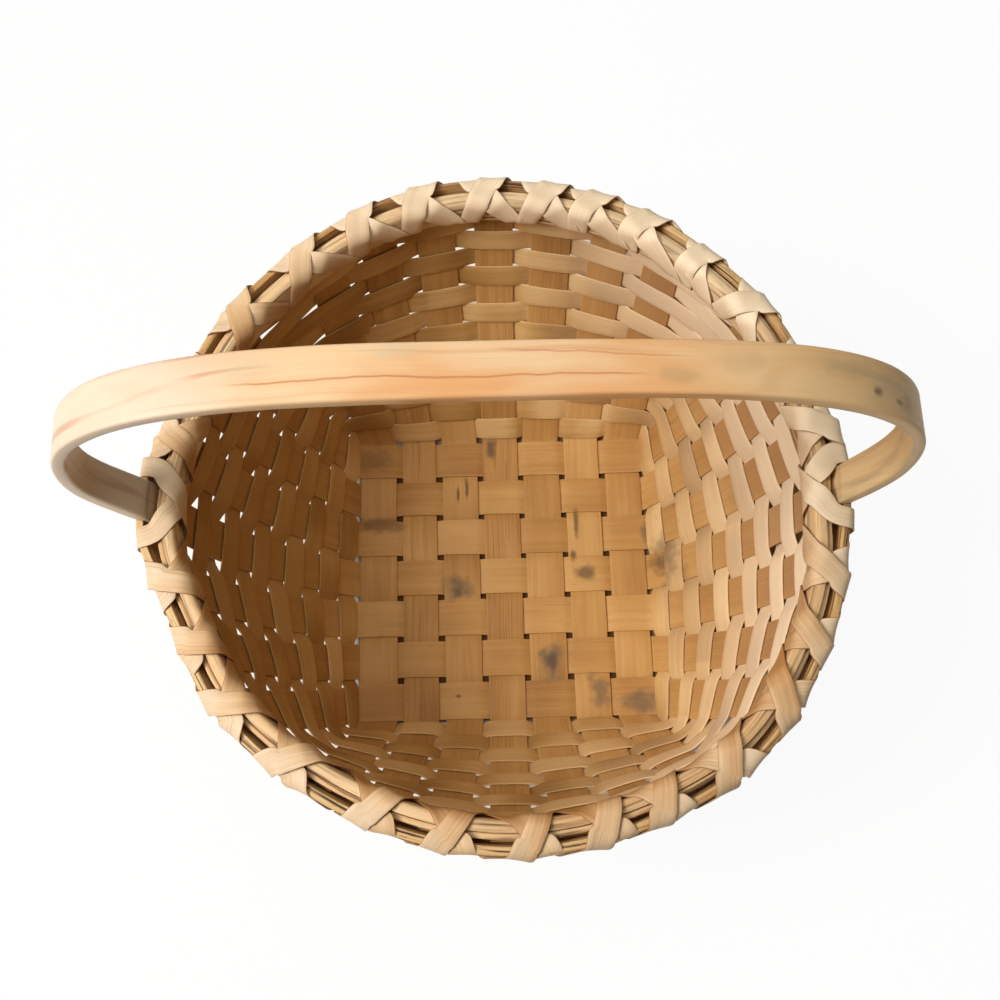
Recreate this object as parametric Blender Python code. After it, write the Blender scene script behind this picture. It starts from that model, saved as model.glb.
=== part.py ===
"""A round-rimmed splint basket with a square plaited bottom and a bent wooden handle.

Seven flat strips run each way across the bottom, turn up and become the stakes of the wall. Twelve
weavers go round them, each a closed ring. The stakes end in a rim of two hoops with a thin strip
between, a bent handle is let in between the hoops, and two splints lash the rim in crossing turns.
X runs to the right and Z up; the handle's legs are on the left and the right. Each piece is a loft
along its own route, because a plaited strip has flats where it crosses others and slopes between.
"""
import math

import bpy
import numpy as np

MM = 0.001
SMALL_TURN = 0.001
SMOOTH_BELOW = math.radians(35.0)

# Strips of the bottom, which are also the stakes of the wall
STRIP_COUNT = 7
STRIP_WIDTH = 20.2
STRIP_THICK = 1.0
STRIP_PITCH = 23.4
STRIP_CLEAR = 0.4
BASE_MARGIN = 0.3
FLAT_PAST_EDGE = 0.4

# Wall
ROW_COUNT = 12
WEAVER_THICK = 0.8
WEAVER_CLEAR = 0.35
WEAVER_PAST_EDGE = 0.6
ROW_GAP = 0.9
WALL_BULGE = 12.0
FIRST_ROW_START = 3.6

# Rim: a hand-bent oval, a little wider front to back. A swell is an angle, an amount and a spread
RIM_RADIUS = 156.4
RIM_OVAL = 1.8
RIM_SHIFT_X = -2.4
RIM_MID_Z = 141.5
RIM_LEAN = math.radians(10.0)
RIM_SWELLS = ((180.0, 2.4, 13.0), (-5.0, -3.6, 10.0), (163.0, -2.2, 10.0), (-171.0, 2.0, 10.0),
              (-155.0, -2.0, 10.0), (-147.0, 1.6, 9.0), (-115.0, -2.2, 22.0), (-49.0, 3.4, 14.0),
              (18.0, -3.4, 12.0), (45.0, -3.0, 16.0), (80.0, -1.6, 16.0), (130.0, -3.6, 20.0))
STAKE_STEP = math.radians(11.5)
LEG_TURN = math.radians(1.0)
HOOP_HALF_HEIGHT = 7.5
HOOP_CLEAR = 0.35
INNER_STRIP_THICK = 2.6
INNER_HOOP_THICK = 5.4
INNER_HOOP_ROUND = 2.2
STAKE_SLOT = 1.2
LEG_SLOT = 4.2
LEG_SLOT_REACH = 9.0
OUTER_HOOP_THICK = 3.8
OUTER_HOOP_ROUND = 1.4
HOOP_SIDES = 72
STAKE_TOP = 6.0
INNER_STRIP_TOP = 6.6

# Lashing
LASH_THICK = 0.55
LASH_CLEAR = 0.55
LASH_HOLE_HALF = 3.6
LASH_FACE_HALF = 5.4
LASH_TOP_HALF = 6.0
LASH_LEG_HALF = 4.7
LASH_TO_WALL = 0.7
# The widest gap, in the back right corner, takes two holes this far apart
LASH_CORNER_STEP = math.radians(7.4)
LASH_CORNER_SIDE = "right"
# How far the turns drift round on top from the middle of their holes: place, amount, spread in degrees
LASH_DRIFTS = ((-20.0, -4.6, 22.0), (56.0, 6.6, 18.0), (110.0, 3.2, 22.0), (198.0, 2.8, 14.0),
               (232.0, -2.4, 9.0), (277.0, 3.4, 18.0))

# Handle: outer face follows an arch of two exponents, measured from the photograph
HANDLE_THICK = 6.0
HANDLE_TOP_WIDTH = 23.0
HANDLE_LEG_WIDTH = 19.0
HANDLE_SEAT_WIDTH = 18.4
HANDLE_TAIL_WIDTH = 17.0
HANDLE_TOP_Z = 279.0
HANDLE_SPRING_Z = 190.0
HANDLE_HALF_SPAN = 182.3
HANDLE_SHIFT_X = -8.4
HANDLE_FLATNESS = 3.25
HANDLE_DROP = 2.5
HANDLE_EDGE = 1.1
HANDLE_TAIL_Z = 75.0
HANDLE_SHOULDER_Z = 245.0
HANDLE_SWEEP = 3.0
SHOULDER_RISE = 0.8
LEG_SPLAY = 0.28
LEG_STEPS = 5
ARCH_STEPS = 26
TAIL_ROWS = 4
TAIL_END_THICK = 1.4

HALF_COUNT = STRIP_COUNT // 2
BASE_HALF = HALF_COUNT * STRIP_PITCH + STRIP_WIDTH / 2 + BASE_MARGIN
LOWER_LEVEL = STRIP_THICK / 2
UPPER_LEVEL = LOWER_LEVEL + STRIP_THICK + STRIP_CLEAR
WEAVER_OFFSET = STRIP_THICK / 2 + WEAVER_CLEAR + WEAVER_THICK / 2
LASH_SECOND = 2 * LASH_CLEAR + LASH_THICK
LASH_STACK = LASH_SECOND + LASH_THICK

# Distances outward from the middle of a stake, through the rim
STAKE_FACE = STRIP_THICK / 2
INNER_STRIP_OUT = -STAKE_FACE - HOOP_CLEAR
INNER_STRIP_IN = INNER_STRIP_OUT - INNER_STRIP_THICK
INNER_HOOP_OUT = INNER_STRIP_IN - HOOP_CLEAR
INNER_HOOP_IN = INNER_HOOP_OUT - INNER_HOOP_THICK
OUTER_HOOP_IN = STAKE_FACE + LEG_SLOT
OUTER_HOOP_OUT = OUTER_HOOP_IN + OUTER_HOOP_THICK
LEG_IN = STAKE_FACE + WEAVER_CLEAR
SLOT_FLAT_LOSS = 0.7
LEG_SLOT_THICK = OUTER_HOOP_IN - HOOP_CLEAR - SLOT_FLAT_LOSS - LEG_IN
WALL_TOP_H = -HOOP_HALF_HEIGHT - LASH_STACK - LASH_TO_WALL

UP = np.array([0.0, 0.0, 1.0])

# Each side: the way it faces, the way round the basket along it, and its middle angle on the rim
SIDES = {
    "right": (np.array([1.0, 0.0, 0.0]), np.array([0.0, 1.0, 0.0]), -LEG_TURN),
    "back": (np.array([0.0, 1.0, 0.0]), np.array([-1.0, 0.0, 0.0]), math.pi / 2),
    "left": (np.array([-1.0, 0.0, 0.0]), np.array([0.0, -1.0, 0.0]), math.pi + LEG_TURN),
    "front": (np.array([0.0, -1.0, 0.0]), np.array([1.0, 0.0, 0.0]), 1.5 * math.pi),
}
LEG_SIDES = ("right", "left")

WOODS = {
    "stake": (0.60, 0.40, 0.21, 1.0),
    "weaver": (0.66, 0.46, 0.26, 1.0),
    "rim": (0.62, 0.43, 0.25, 1.0),
    "lashing": (0.72, 0.54, 0.35, 1.0),
    "handle": (0.76, 0.57, 0.36, 1.0),
}


def unit(vector):
    """The vector at length one."""
    return vector / np.linalg.norm(vector)


def humps(angle, rows):
    """Sum at an angle of smooth humps round the rim, given by place, amount and spread in degrees."""
    total = 0.0
    for middle, amount, spread in rows:
        off = math.degrees(math.remainder(angle - math.radians(middle), 2 * math.pi))
        total += amount * math.exp(-(off / spread) ** 2)
    return total


def rim_point(angle, out, height):
    """A point of the rim: out from the stakes' middle, height along the leaning rim from its middle."""
    swell = humps(angle, RIM_SWELLS)
    reach = RIM_RADIUS + swell + out * math.cos(RIM_LEAN) + height * math.sin(RIM_LEAN)
    return np.array([
        RIM_SHIFT_X + (reach - RIM_OVAL) * math.cos(angle),
        (reach + RIM_OVAL) * math.sin(angle),
        RIM_MID_Z + height * math.cos(RIM_LEAN) - out * math.sin(RIM_LEAN),
    ])


def squeezed(angle, out):
    """A distance out through the rim, where the outer hoop closes in on the stakes away from the legs."""
    shut = LEG_SLOT - STAKE_SLOT
    for side in LEG_SIDES:
        off = math.degrees(math.remainder(angle - SIDES[side][2], 2 * math.pi))
        shut *= 1 - math.exp(-(off / LEG_SLOT_REACH) ** 4)
    return out - shut * min(max((out - STAKE_FACE) / LEG_SLOT, 0.0), 1.0)


def wall_fractions():
    """Shares of the way out and up at each row's edges, equal steps along an arc that bulges outward."""
    span = RIM_RADIUS - BASE_HALF + WALL_TOP_H * math.sin(RIM_LEAN)
    rise = RIM_MID_Z + WALL_TOP_H * math.cos(RIM_LEAN) - LOWER_LEVEL
    chord = math.hypot(span, rise)
    radius = (chord ** 2 / 4 + WALL_BULGE ** 2) / (2 * WALL_BULGE)
    half = math.asin(chord / 2 / radius)
    length = 2 * half * radius
    along = FIRST_ROW_START + (length - FIRST_ROW_START) * np.arange(ROW_COUNT + 1) / ROW_COUNT
    turn = (2 * along / length - 1) * half
    forward = chord / 2 + radius * np.sin(turn)
    sag = radius * np.cos(turn) - (radius - WALL_BULGE)
    out = (forward * span + sag * rise) / chord
    up = (forward * rise - sag * span) / chord
    return out / span, up / rise


OUT_SHARE, UP_SHARE = wall_fractions()


class Stake:
    """One strip's rise up one wall: points and directions across it at each row's edge, then in the rim."""

    def __init__(self, side, place):
        """Place runs from -3 to 3 along the side, the way round the basket."""
        facing, along, middle = SIDES[side]
        self.side = side
        self.place = place
        self.angle = middle + place * STAKE_STEP
        foot = facing * BASE_HALF + along * (place * STRIP_PITCH)
        head = rim_point(self.angle, 0.0, WALL_TOP_H)
        across_rim = (rim_point(self.angle + SMALL_TURN, 0.0, 0.0)
                      - rim_point(self.angle - SMALL_TURN, 0.0, 0.0))
        self.across_rim = unit(across_rim)
        self.points, self.across = [], []
        for out, up in zip(OUT_SHARE, UP_SHARE):
            point = foot + (head - foot) * out
            point[2] = LOWER_LEVEL + (head[2] - LOWER_LEVEL) * up
            self.points.append(point)
            self.across.append(unit(along * (1 - out) + self.across_rim * out))

    def weaver_inside(self, row):
        """Whether a row, counted from 1, passes this stake on the inside."""
        strip = STRIP_COUNT + 1 - (self.place + HALF_COUNT + 1)
        even = (strip + row) % 2 == 0
        return even if self.side in LEG_SIDES else not even

    def facet(self, row, edge, past):
        """Lower and upper ends of the line at one edge of the flat that a row crosses, and its normal."""
        reach = edge * (STRIP_WIDTH / 2 + past)
        low = self.points[row - 1] + reach * self.across[row - 1]
        high = self.points[row] + reach * self.across[row]
        rise = self.points[row] - self.points[row - 1]
        normal = unit(np.cross(self.across[row - 1] + self.across[row], rise))
        return low, high, normal


STAKES = [Stake(side, place) for side in SIDES for place in range(-HALF_COUNT, HALF_COUNT + 1)]


def stake_at(side, place):
    """The stake at a place of a side."""
    return next(stake for stake in STAKES if stake.side == side and stake.place == place)


def tail_thickness(row):
    """Thickness of the handle's tail at the upper edge of a row: it is pared thinner towards its end."""
    share = (ROW_COUNT - row) / TAIL_ROWS
    return LEG_SLOT_THICK + (TAIL_END_THICK - LEG_SLOT_THICK) * min(share, 1.0)


def loft(sections, closed, flips=()):
    """Vertices and triangles of a tube through sections. Flips name sides split the other way."""
    count = len(sections[0])
    vertices = [tuple(point) for section in sections for point in section]
    rings = len(sections)
    faces = []
    for ring in range(rings if closed else rings - 1):
        here, there = ring * count, (ring + 1) % rings * count
        for side in range(count):
            other = (side + 1) % count
            a, b, c, d = here + side, here + other, there + other, there + side
            faces += [(a, b, d), (b, c, d)] if side in flips else [(a, b, c), (a, c, d)]
    if not closed:
        last = (rings - 1) * count
        faces += [(0, side + 1, side) for side in range(1, count - 1)]
        faces += [(last, last + side, last + side + 1) for side in range(1, count - 1)]
    return vertices, faces


def add_piece(name, wood, vertices, faces, smooth_below=None):
    """Makes a closed mesh object in metres with its own material, its faces pointing out."""
    points = np.array(vertices) * MM
    corners = points[np.array(faces)]
    if np.einsum("ij,ij->i", corners[:, 0], np.cross(corners[:, 1], corners[:, 2])).sum() < 0:
        faces = [face[::-1] for face in faces]
    mesh = bpy.data.meshes.new(name)
    mesh.from_pydata(points.tolist(), [], faces)
    mesh.validate()
    piece = bpy.data.objects.new(name, mesh)
    basket.objects.link(piece)
    material = bpy.data.materials.new(name + "_wood")
    material.use_nodes = True
    shader = material.node_tree.nodes["Principled BSDF"]
    shader.inputs["Base Color"].default_value = WOODS[wood]
    shader.inputs["Roughness"].default_value = 0.6
    mesh.materials.append(material)
    if smooth_below:
        mesh.shade_smooth()
        mesh.set_sharp_from_angle(angle=smooth_below)
    return piece


def strip_sections(points, across, half_widths, below, above):
    """Four-cornered sections of a flat strip, mitred at bends, so far below and above its route."""
    sections = []
    last = len(points) - 1
    for i, point in enumerate(points):
        before = unit(points[i] - points[i - 1]) if i else None
        after = unit(points[i + 1] - points[i]) if i < last else None
        before, after = after if before is None else before, before if after is None else after
        way = unit(before + after)
        straight = math.sqrt((1 + before @ after) / 2)
        normal = unit(np.cross(across[i], way)) / straight
        side = across[i] * half_widths[i]
        sections.append([point + side + normal * above[i], point - side + normal * above[i],
                         point - side - normal * below[i], point + side - normal * below[i]])
    return sections


def base_route(runs_along_x, strip):
    """Points of a strip across the bottom: flat over or under each strip that it crosses."""
    offset = (HALF_COUNT + 1 - strip) * STRIP_PITCH * (1 if runs_along_x else -1)
    points = []
    for crossed in range(-HALF_COUNT, HALF_COUNT + 1):
        other = crossed + HALF_COUNT + 1 if runs_along_x else HALF_COUNT + 1 - crossed
        front_to_back_on_top = (strip + other) % 2 == 1
        level = LOWER_LEVEL if front_to_back_on_top == runs_along_x else UPPER_LEVEL
        for edge in (-1, 1):
            place = crossed * STRIP_PITCH + edge * (STRIP_WIDTH / 2 + FLAT_PAST_EDGE)
            points.append(np.array([place, offset, level] if runs_along_x else [offset, place, level]))
    return points


def make_strip(runs_along_x, strip):
    """One strip: down one wall, across the bottom and up the other wall."""
    sides = ("left", "right") if runs_along_x else ("front", "back")
    place = HALF_COUNT + 1 - strip if runs_along_x else strip - HALF_COUNT - 1
    start = stake_at(sides[0], -place if runs_along_x else place)
    end = stake_at(sides[1], place if runs_along_x else -place)
    base = base_route(runs_along_x, strip)
    flat_across = SIDES[sides[1]][1]
    points = [rim_point(start.angle, 0.0, STAKE_TOP)] + start.points[::-1] + base
    points += end.points + [rim_point(end.angle, 0.0, STAKE_TOP)]
    across = [-start.across_rim] + [-way for way in start.across[::-1]] + [flat_across] * len(base)
    across += end.across + [end.across_rim]
    half = [STRIP_WIDTH / 2] * len(points)
    thick = [STRIP_THICK / 2] * len(points)
    name = f"stake_{'across' if runs_along_x else 'deep'}_{strip}"
    add_piece(name, "stake", *loft(strip_sections(points, across, half, thick, thick), False, (0,)))


def make_weaver(row):
    """One ring of the wall, in and out past all the stakes, and over the handle's tails."""
    sections = []
    for stake in STAKES:
        reach = WEAVER_OFFSET * (-1 if stake.weaver_inside(row) else 1)
        over_tail = stake.side in LEG_SIDES and stake.place == 0 and row > ROW_COUNT - TAIL_ROWS - 1
        if over_tail and reach > 0:
            reach += tail_thickness(row) + WEAVER_CLEAR
        for edge in (-1, 1):
            low, high, normal = stake.facet(row, edge, WEAVER_PAST_EDGE)
            trim = unit(high - low) * ROW_GAP / 2
            out, back = normal * (reach + WEAVER_THICK / 2), normal * (reach - WEAVER_THICK / 2)
            sections.append([high - trim + out, low + trim + out, low + trim + back, high - trim + back])
    add_piece(f"weaver_{row:02d}", "weaver", *loft(sections, True, (0,)))


def make_hoop(name, profile):
    """A closed hoop of the rim with the given section, as pairs out and height."""
    angles = np.arange(HOOP_SIDES) * 2 * math.pi / HOOP_SIDES
    sections = [[rim_point(angle, squeezed(angle, out), height) for out, height in profile]
                for angle in angles]
    add_piece(name, "rim", *loft(sections, True), smooth_below=SMOOTH_BELOW)


def offset_outline(outline, distance):
    """The outline moved outward by a distance, its corners kept sharp. The outline runs clockwise."""
    moved = []
    for i, corner in enumerate(outline):
        before = unit(corner - outline[i - 1])
        after = unit(outline[(i + 1) % len(outline)] - corner)
        normal_a, normal_b = np.array([-before[1], before[0]]), np.array([-after[1], after[0]])
        moved.append(corner - distance * (normal_a + normal_b) / (1 + normal_a @ normal_b))
    return moved


# The lashing's way round the rim: corner, share of the step to the next hole for the upper splint, for
# the lower splint and for both at a leg, share of the drift, and half width. The upper one is straighter
H = HOOP_HALF_HEIGHT
LASH_ROUTE = (
    ((0.0, -H), 0.0, 0.0, 0.0, 0.0, LASH_HOLE_HALF),
    ((OUTER_HOOP_OUT - OUTER_HOOP_ROUND, -H), 0.04, 0.03, 0.0, 0.15, LASH_HOLE_HALF),
    ((OUTER_HOOP_OUT, -H + OUTER_HOOP_ROUND), 0.12, 0.10, 0.0, 0.3, LASH_FACE_HALF),
    ((OUTER_HOOP_OUT, H - OUTER_HOOP_ROUND), 0.32, 0.25, 0.0, 0.9, LASH_TOP_HALF),
    ((OUTER_HOOP_OUT - OUTER_HOOP_ROUND, H), 0.39, 0.33, 0.0, 1.0, LASH_TOP_HALF),
    ((INNER_STRIP_OUT, H), 0.51, 0.45, 0.0, 1.0, LASH_TOP_HALF),
    ((INNER_HOOP_IN + INNER_HOOP_ROUND, H), 0.65, 0.68, 0.27, 1.0, LASH_TOP_HALF),
    ((INNER_HOOP_IN, H - INNER_HOOP_ROUND), 0.78, 0.83, 0.38, 0.9, LASH_TOP_HALF),
    ((INNER_HOOP_IN, -H + INNER_HOOP_ROUND), 0.90, 0.93, 0.8, 0.3, LASH_FACE_HALF),
    ((INNER_HOOP_IN + INNER_HOOP_ROUND, -H), 0.95, 0.97, 0.94, 0.15, LASH_HOLE_HALF),
)


def lashing_turns():
    """Angles of the holes that each turn of the lashing starts and ends at: the gaps between the stakes."""
    holes = []
    for stake, after in zip(STAKES, STAKES[1:] + STAKES[:1]):
        middle = stake.angle + math.remainder(after.angle - stake.angle, 2 * math.pi) / 2
        if stake.side == LASH_CORNER_SIDE and stake.place == HALF_COUNT:
            holes += [middle - LASH_CORNER_STEP / 2, middle + LASH_CORNER_STEP / 2]
        else:
            holes.append(middle)
    return list(zip([holes[-1] - 2 * math.pi] + holes[:-1], holes))


def make_lashing(name, gap, forward):
    """One splint wound right round the rim, through every hole. The second lies over the first."""
    outline = [np.array(corner) for corner, *_ in LASH_ROUTE]
    inner, outer = offset_outline(outline, gap), offset_outline(outline, gap + LASH_THICK)
    legs = [SIDES[side][2] for side in LEG_SIDES]
    sections = []
    for start, end in lashing_turns() if forward else lashing_turns()[::-1]:
        middle, reach = (start + end) / 2, (end - start) / 2
        at_leg = any(abs(middle - leg) < reach for leg in legs)
        drift = 0.0 if at_leg else math.radians(humps(middle, LASH_DRIFTS))
        for i, (_, upper_share, lower_share, leg_share, drifted, half) in enumerate(LASH_ROUTE):
            share = leg_share if at_leg else upper_share if forward else lower_share
            angle = start + share * (end - start) if forward else end - share * (end - start)
            angle += drifted * drift
            half = min(half, LASH_LEG_HALF) if at_leg and leg_share == 0.0 else half
            turn = half / RIM_RADIUS
            sections.append([rim_point(angle + way * turn, squeezed(angle + way * turn, out), height)
                             for way, (out, height) in zip((1, -1, -1, 1),
                                                           (outer[i], outer[i], inner[i], inner[i]))])
    # Each slanting face is split along its shorter diagonal, which keeps it close to the hoops
    add_piece(name, "lashing", *loft(sections, True, (2,) if forward else (0,)))


# Widths of the handle by height: tail's end, rim, spring line, and from the arch's shoulder up
WIDTH_HEIGHTS = (HANDLE_TAIL_Z, RIM_MID_Z - H, RIM_MID_Z + H, HANDLE_SPRING_Z, HANDLE_SHOULDER_Z)
WIDTHS = (HANDLE_TAIL_WIDTH, HANDLE_SEAT_WIDTH, HANDLE_SEAT_WIDTH, HANDLE_LEG_WIDTH, HANDLE_TOP_WIDTH)


def handle_y(height):
    """How far back the handle stands at a height: it leans back a little from its seats to its top."""
    seat = rim_point(SIDES["right"][2], LEG_IN, H + SHOULDER_RISE)
    share = max(0.0, (height - seat[2]) / (HANDLE_TOP_Z - seat[2]))
    return seat[1] * (1 - share) ** HANDLE_SWEEP


def arch_point(turn):
    """A point of the handle's outer face above the spring line, by the angle round the arch."""
    c, s = math.cos(turn), math.sin(turn)
    across = math.copysign(abs(c) ** (2 / HANDLE_FLATNESS), c) * HANDLE_HALF_SPAN
    rise = abs(s) ** (2 / HANDLE_DROP) * (HANDLE_TOP_Z - HANDLE_SPRING_Z)
    height = HANDLE_SPRING_Z + rise
    return np.array([HANDLE_SHIFT_X + across, handle_y(height), height])


def leg_route(side):
    """One leg up to the spring line: inner-face points, ways up, ways across and thicknesses."""
    stake = stake_at(side, 0)
    facing = SIDES[side][0]
    points, ways, acrosses, thicks = [], [], [], []
    for row in range(ROW_COUNT - TAIL_ROWS, ROW_COUNT + 1):
        low, high, normal = stake.facet(row, 0, 0.0)
        point = high if row > ROW_COUNT - TAIL_ROWS else (low + high) / 2
        way = unit(high - low)
        if row < ROW_COUNT:
            way = unit(way + unit(stake.points[row + 1] - high))
        points.append(point + unit(np.cross(stake.across[row], way)) * LEG_IN)
        ways.append(way)
        acrosses.append(stake.across[row])
        thicks.append(tail_thickness(row))
    way = facing * math.sin(RIM_LEAN) + UP * math.cos(RIM_LEAN)
    for height, thick in ((-H, LEG_SLOT_THICK), (H + SHOULDER_RISE / 2, LEG_SLOT_THICK),
                          (H + SHOULDER_RISE, HANDLE_THICK)):
        points.append(rim_point(stake.angle, LEG_IN, height))
        ways.append(way)
        acrosses.append(stake.across_rim)
        thicks.append(thick)
    start = points[-1]
    end = arch_point(0.0 if side == "right" else math.pi) - facing * HANDLE_THICK
    reach = np.linalg.norm(end - start) / 3
    one, two = start + unit(way + LEG_SPLAY * facing) * reach, end - UP * reach
    for step in range(1, LEG_STEPS + 1):
        t = step / LEG_STEPS
        u = 1 - t
        points.append(u ** 3 * start + 3 * t * u * u * one + 3 * t * t * u * two + t ** 3 * end)
        ways.append(unit(u * u * (one - start) + 2 * t * u * (two - one) + t * t * (end - two)))
        acrosses.append(unit(u * stake.across_rim + t * SIDES[side][1]))
        thicks.append(HANDLE_THICK)
    return points, ways, acrosses, thicks


def make_handle():
    """The bent handle with both tails, thinned where it passes between the hoops."""
    across = SIDES["right"][1]
    points, ways, acrosses, thicks = leg_route("right")
    for i in range(1, ARCH_STEPS):
        turn = math.pi * i / ARCH_STEPS
        way = unit(arch_point(turn + SMALL_TURN) - arch_point(turn - SMALL_TURN))
        points.append(arch_point(turn) - np.cross(across, way) * HANDLE_THICK)
        ways.append(way)
        acrosses.append(across)
        thicks.append(HANDLE_THICK)
    left_points, left_ways, left_acrosses, left_thicks = leg_route("left")
    points += left_points[::-1]
    ways += [-way for way in left_ways[::-1]]
    acrosses += [-across for across in left_acrosses[::-1]]
    thicks += left_thicks[::-1]
    sections = []
    for i, point in enumerate(points):
        across = acrosses[i]
        normal = unit(np.cross(across, ways[i]))
        width = float(np.interp(point[2], WIDTH_HEIGHTS, WIDTHS))
        half, edge = width / 2, min(HANDLE_EDGE, thicks[i] / 3)
        shape = ((half, edge), (half, thicks[i] - edge), (half - edge, thicks[i]), (edge - half, thicks[i]),
                 (-half, thicks[i] - edge), (-half, edge), (edge - half, 0.0), (half - edge, 0.0))
        sections.append([point + across * a + normal * b for a, b in shape])
    add_piece("handle", "handle", *loft(sections, False), smooth_below=SMOOTH_BELOW)


for old in list(bpy.data.objects):
    bpy.data.objects.remove(old, do_unlink=True)
basket = bpy.data.collections.new("woven_basket")
bpy.context.scene.collection.children.link(basket)

for number in range(1, STRIP_COUNT + 1):
    make_strip(True, number)
    make_strip(False, number)
for number in range(1, ROW_COUNT + 1):
    make_weaver(number)
make_hoop("rim_strip_inner", (
    (INNER_STRIP_OUT, -H), (INNER_STRIP_OUT, INNER_STRIP_TOP),
    (INNER_STRIP_IN, INNER_STRIP_TOP), (INNER_STRIP_IN, -H)))
make_hoop("rim_hoop_inner", (
    (INNER_HOOP_OUT, -H), (INNER_HOOP_OUT, H), (INNER_HOOP_IN + INNER_HOOP_ROUND, H),
    (INNER_HOOP_IN, H - INNER_HOOP_ROUND), (INNER_HOOP_IN, -H + INNER_HOOP_ROUND),
    (INNER_HOOP_IN + INNER_HOOP_ROUND, -H)))
make_hoop("rim_hoop_outer", (
    (OUTER_HOOP_IN, -H), (OUTER_HOOP_OUT - OUTER_HOOP_ROUND, -H), (OUTER_HOOP_OUT, -H + OUTER_HOOP_ROUND),
    (OUTER_HOOP_OUT, H - OUTER_HOOP_ROUND), (OUTER_HOOP_OUT - OUTER_HOOP_ROUND, H), (OUTER_HOOP_IN, H)))
make_lashing("lashing_first", LASH_CLEAR, False)
make_lashing("lashing_second", LASH_SECOND, True)
make_handle()
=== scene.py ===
"""Looks of a splint basket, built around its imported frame.

Every piece is made as the basket maker makes it: dressed straight as a bar with rounded edges, then
bent along its route. The stakes cross the bottom and climb the wall, the weavers go round them, the
hoops and the handle are bent to the rim, and two splints are wound round the hoops. Sizes are in
millimetres, as in the part's source, and each finished mesh is in metres.
"""
from __future__ import annotations

import logging
import math
from dataclasses import dataclass, field, replace
from enum import Enum

import bmesh
import bpy
import numpy as np
from mathutils import Matrix, Vector


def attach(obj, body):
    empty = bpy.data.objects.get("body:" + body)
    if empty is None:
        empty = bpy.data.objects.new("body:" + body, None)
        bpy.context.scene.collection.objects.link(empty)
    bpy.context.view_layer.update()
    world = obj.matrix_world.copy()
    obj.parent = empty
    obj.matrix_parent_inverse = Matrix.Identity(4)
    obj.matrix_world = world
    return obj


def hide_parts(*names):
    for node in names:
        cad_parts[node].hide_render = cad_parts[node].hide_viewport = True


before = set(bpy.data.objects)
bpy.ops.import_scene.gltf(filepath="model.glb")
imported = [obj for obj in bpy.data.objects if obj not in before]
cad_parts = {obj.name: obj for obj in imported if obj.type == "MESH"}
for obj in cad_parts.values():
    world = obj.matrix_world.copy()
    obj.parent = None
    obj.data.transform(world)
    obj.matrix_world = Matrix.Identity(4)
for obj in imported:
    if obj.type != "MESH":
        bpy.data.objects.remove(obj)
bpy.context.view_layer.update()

log = logging.getLogger("basket")
MM = 0.001

Array = np.ndarray
Piece = bpy.types.Object
Socket = bpy.types.NodeSocket
Number = "Value | float"
Triple = tuple[float, float, float]
Colour = tuple[float, float, float, float]


# Small sums


def unit(vectors: Array) -> Array:
    """The vector, or each row of vectors, at length one."""
    return vectors / np.linalg.norm(vectors, axis=-1, keepdims=True)


def way_along(points: Array) -> Array:
    """How far along a line each of its points is."""
    return np.concatenate([[0.0], np.cumsum(np.linalg.norm(np.diff(points, axis=0), axis=1))])


def ways_round(points: Array) -> Array:
    """The direction of travel at each point of a closed line."""
    return unit(np.roll(points, -1, axis=0) - np.roll(points, 1, axis=0))


def eased(values: Array, reach: float, closed: bool = True) -> Array:
    """Values along a route with their corners rounded off.

    Args:
        values: One row, or one number, for each station.
        reach: Spread of the rounding, in stations.
        closed: Whether the route ends where it starts.

    Returns:
        The rounded values, as many as before.
    """
    span = min(int(3 * reach) + 1, len(values) - 1)
    weights = np.exp(-0.5 * (np.arange(-span, span + 1) / reach) ** 2)
    weights /= weights.sum()
    pads = ((span, span),) + ((0, 0),) * (values.ndim - 1)
    how = {"mode": "wrap"} if closed else {"mode": "reflect", "reflect_type": "odd"}
    padded = np.pad(values, pads, **how)
    return np.apply_along_axis(lambda run: np.convolve(run, weights, "valid"), 0, padded)


def wander(count: int, reach: float, seed: int) -> Array:
    """A slow random drift along a route.

    Args:
        count: How many stations there are.
        reach: How slowly it drifts, in stations.
        seed: Chooses the drift.

    Returns:
        One number for each station, around 0 and of spread one.
    """
    slow = eased(np.random.default_rng(seed).standard_normal(count), reach)
    return (slow - slow.mean()) / slow.std()


def degrees_off(angle: Array, middle: float) -> Array:
    """Degrees from a middle to each angle, the short way round. Both are given in radians."""
    return np.degrees(np.angle(np.exp(1j * (angle - middle))))


def humps(angle: Array, rows: tuple) -> Array:
    """The sum at each angle of smooth humps round the rim, given by place, amount and spread in degrees."""
    return sum(amount * np.exp(-((degrees_off(angle, math.radians(middle)) / spread) ** 2))
               for middle, amount, spread in rows)


# Shapes of the basket

LEG_TURN = math.radians(1.0)


class Side(Enum):
    """The four sides of the bottom: the way each faces, the way round along it, its middle on the rim."""

    RIGHT = ((1.0, 0.0, 0.0), (0.0, 1.0, 0.0), -LEG_TURN)
    BACK = ((0.0, 1.0, 0.0), (-1.0, 0.0, 0.0), math.pi / 2)
    LEFT = ((-1.0, 0.0, 0.0), (0.0, -1.0, 0.0), math.pi + LEG_TURN)
    FRONT = ((0.0, -1.0, 0.0), (1.0, 0.0, 0.0), 1.5 * math.pi)

    def __init__(self, facing: Triple, along: Triple, middle: float) -> None:
        """Keeps the three values under their names."""
        self.facing, self.along, self.middle = np.array(facing), np.array(along), middle

    @property
    def has_leg(self) -> bool:
        """Whether the handle comes down this side."""
        return self in (Side.RIGHT, Side.LEFT)


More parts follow.
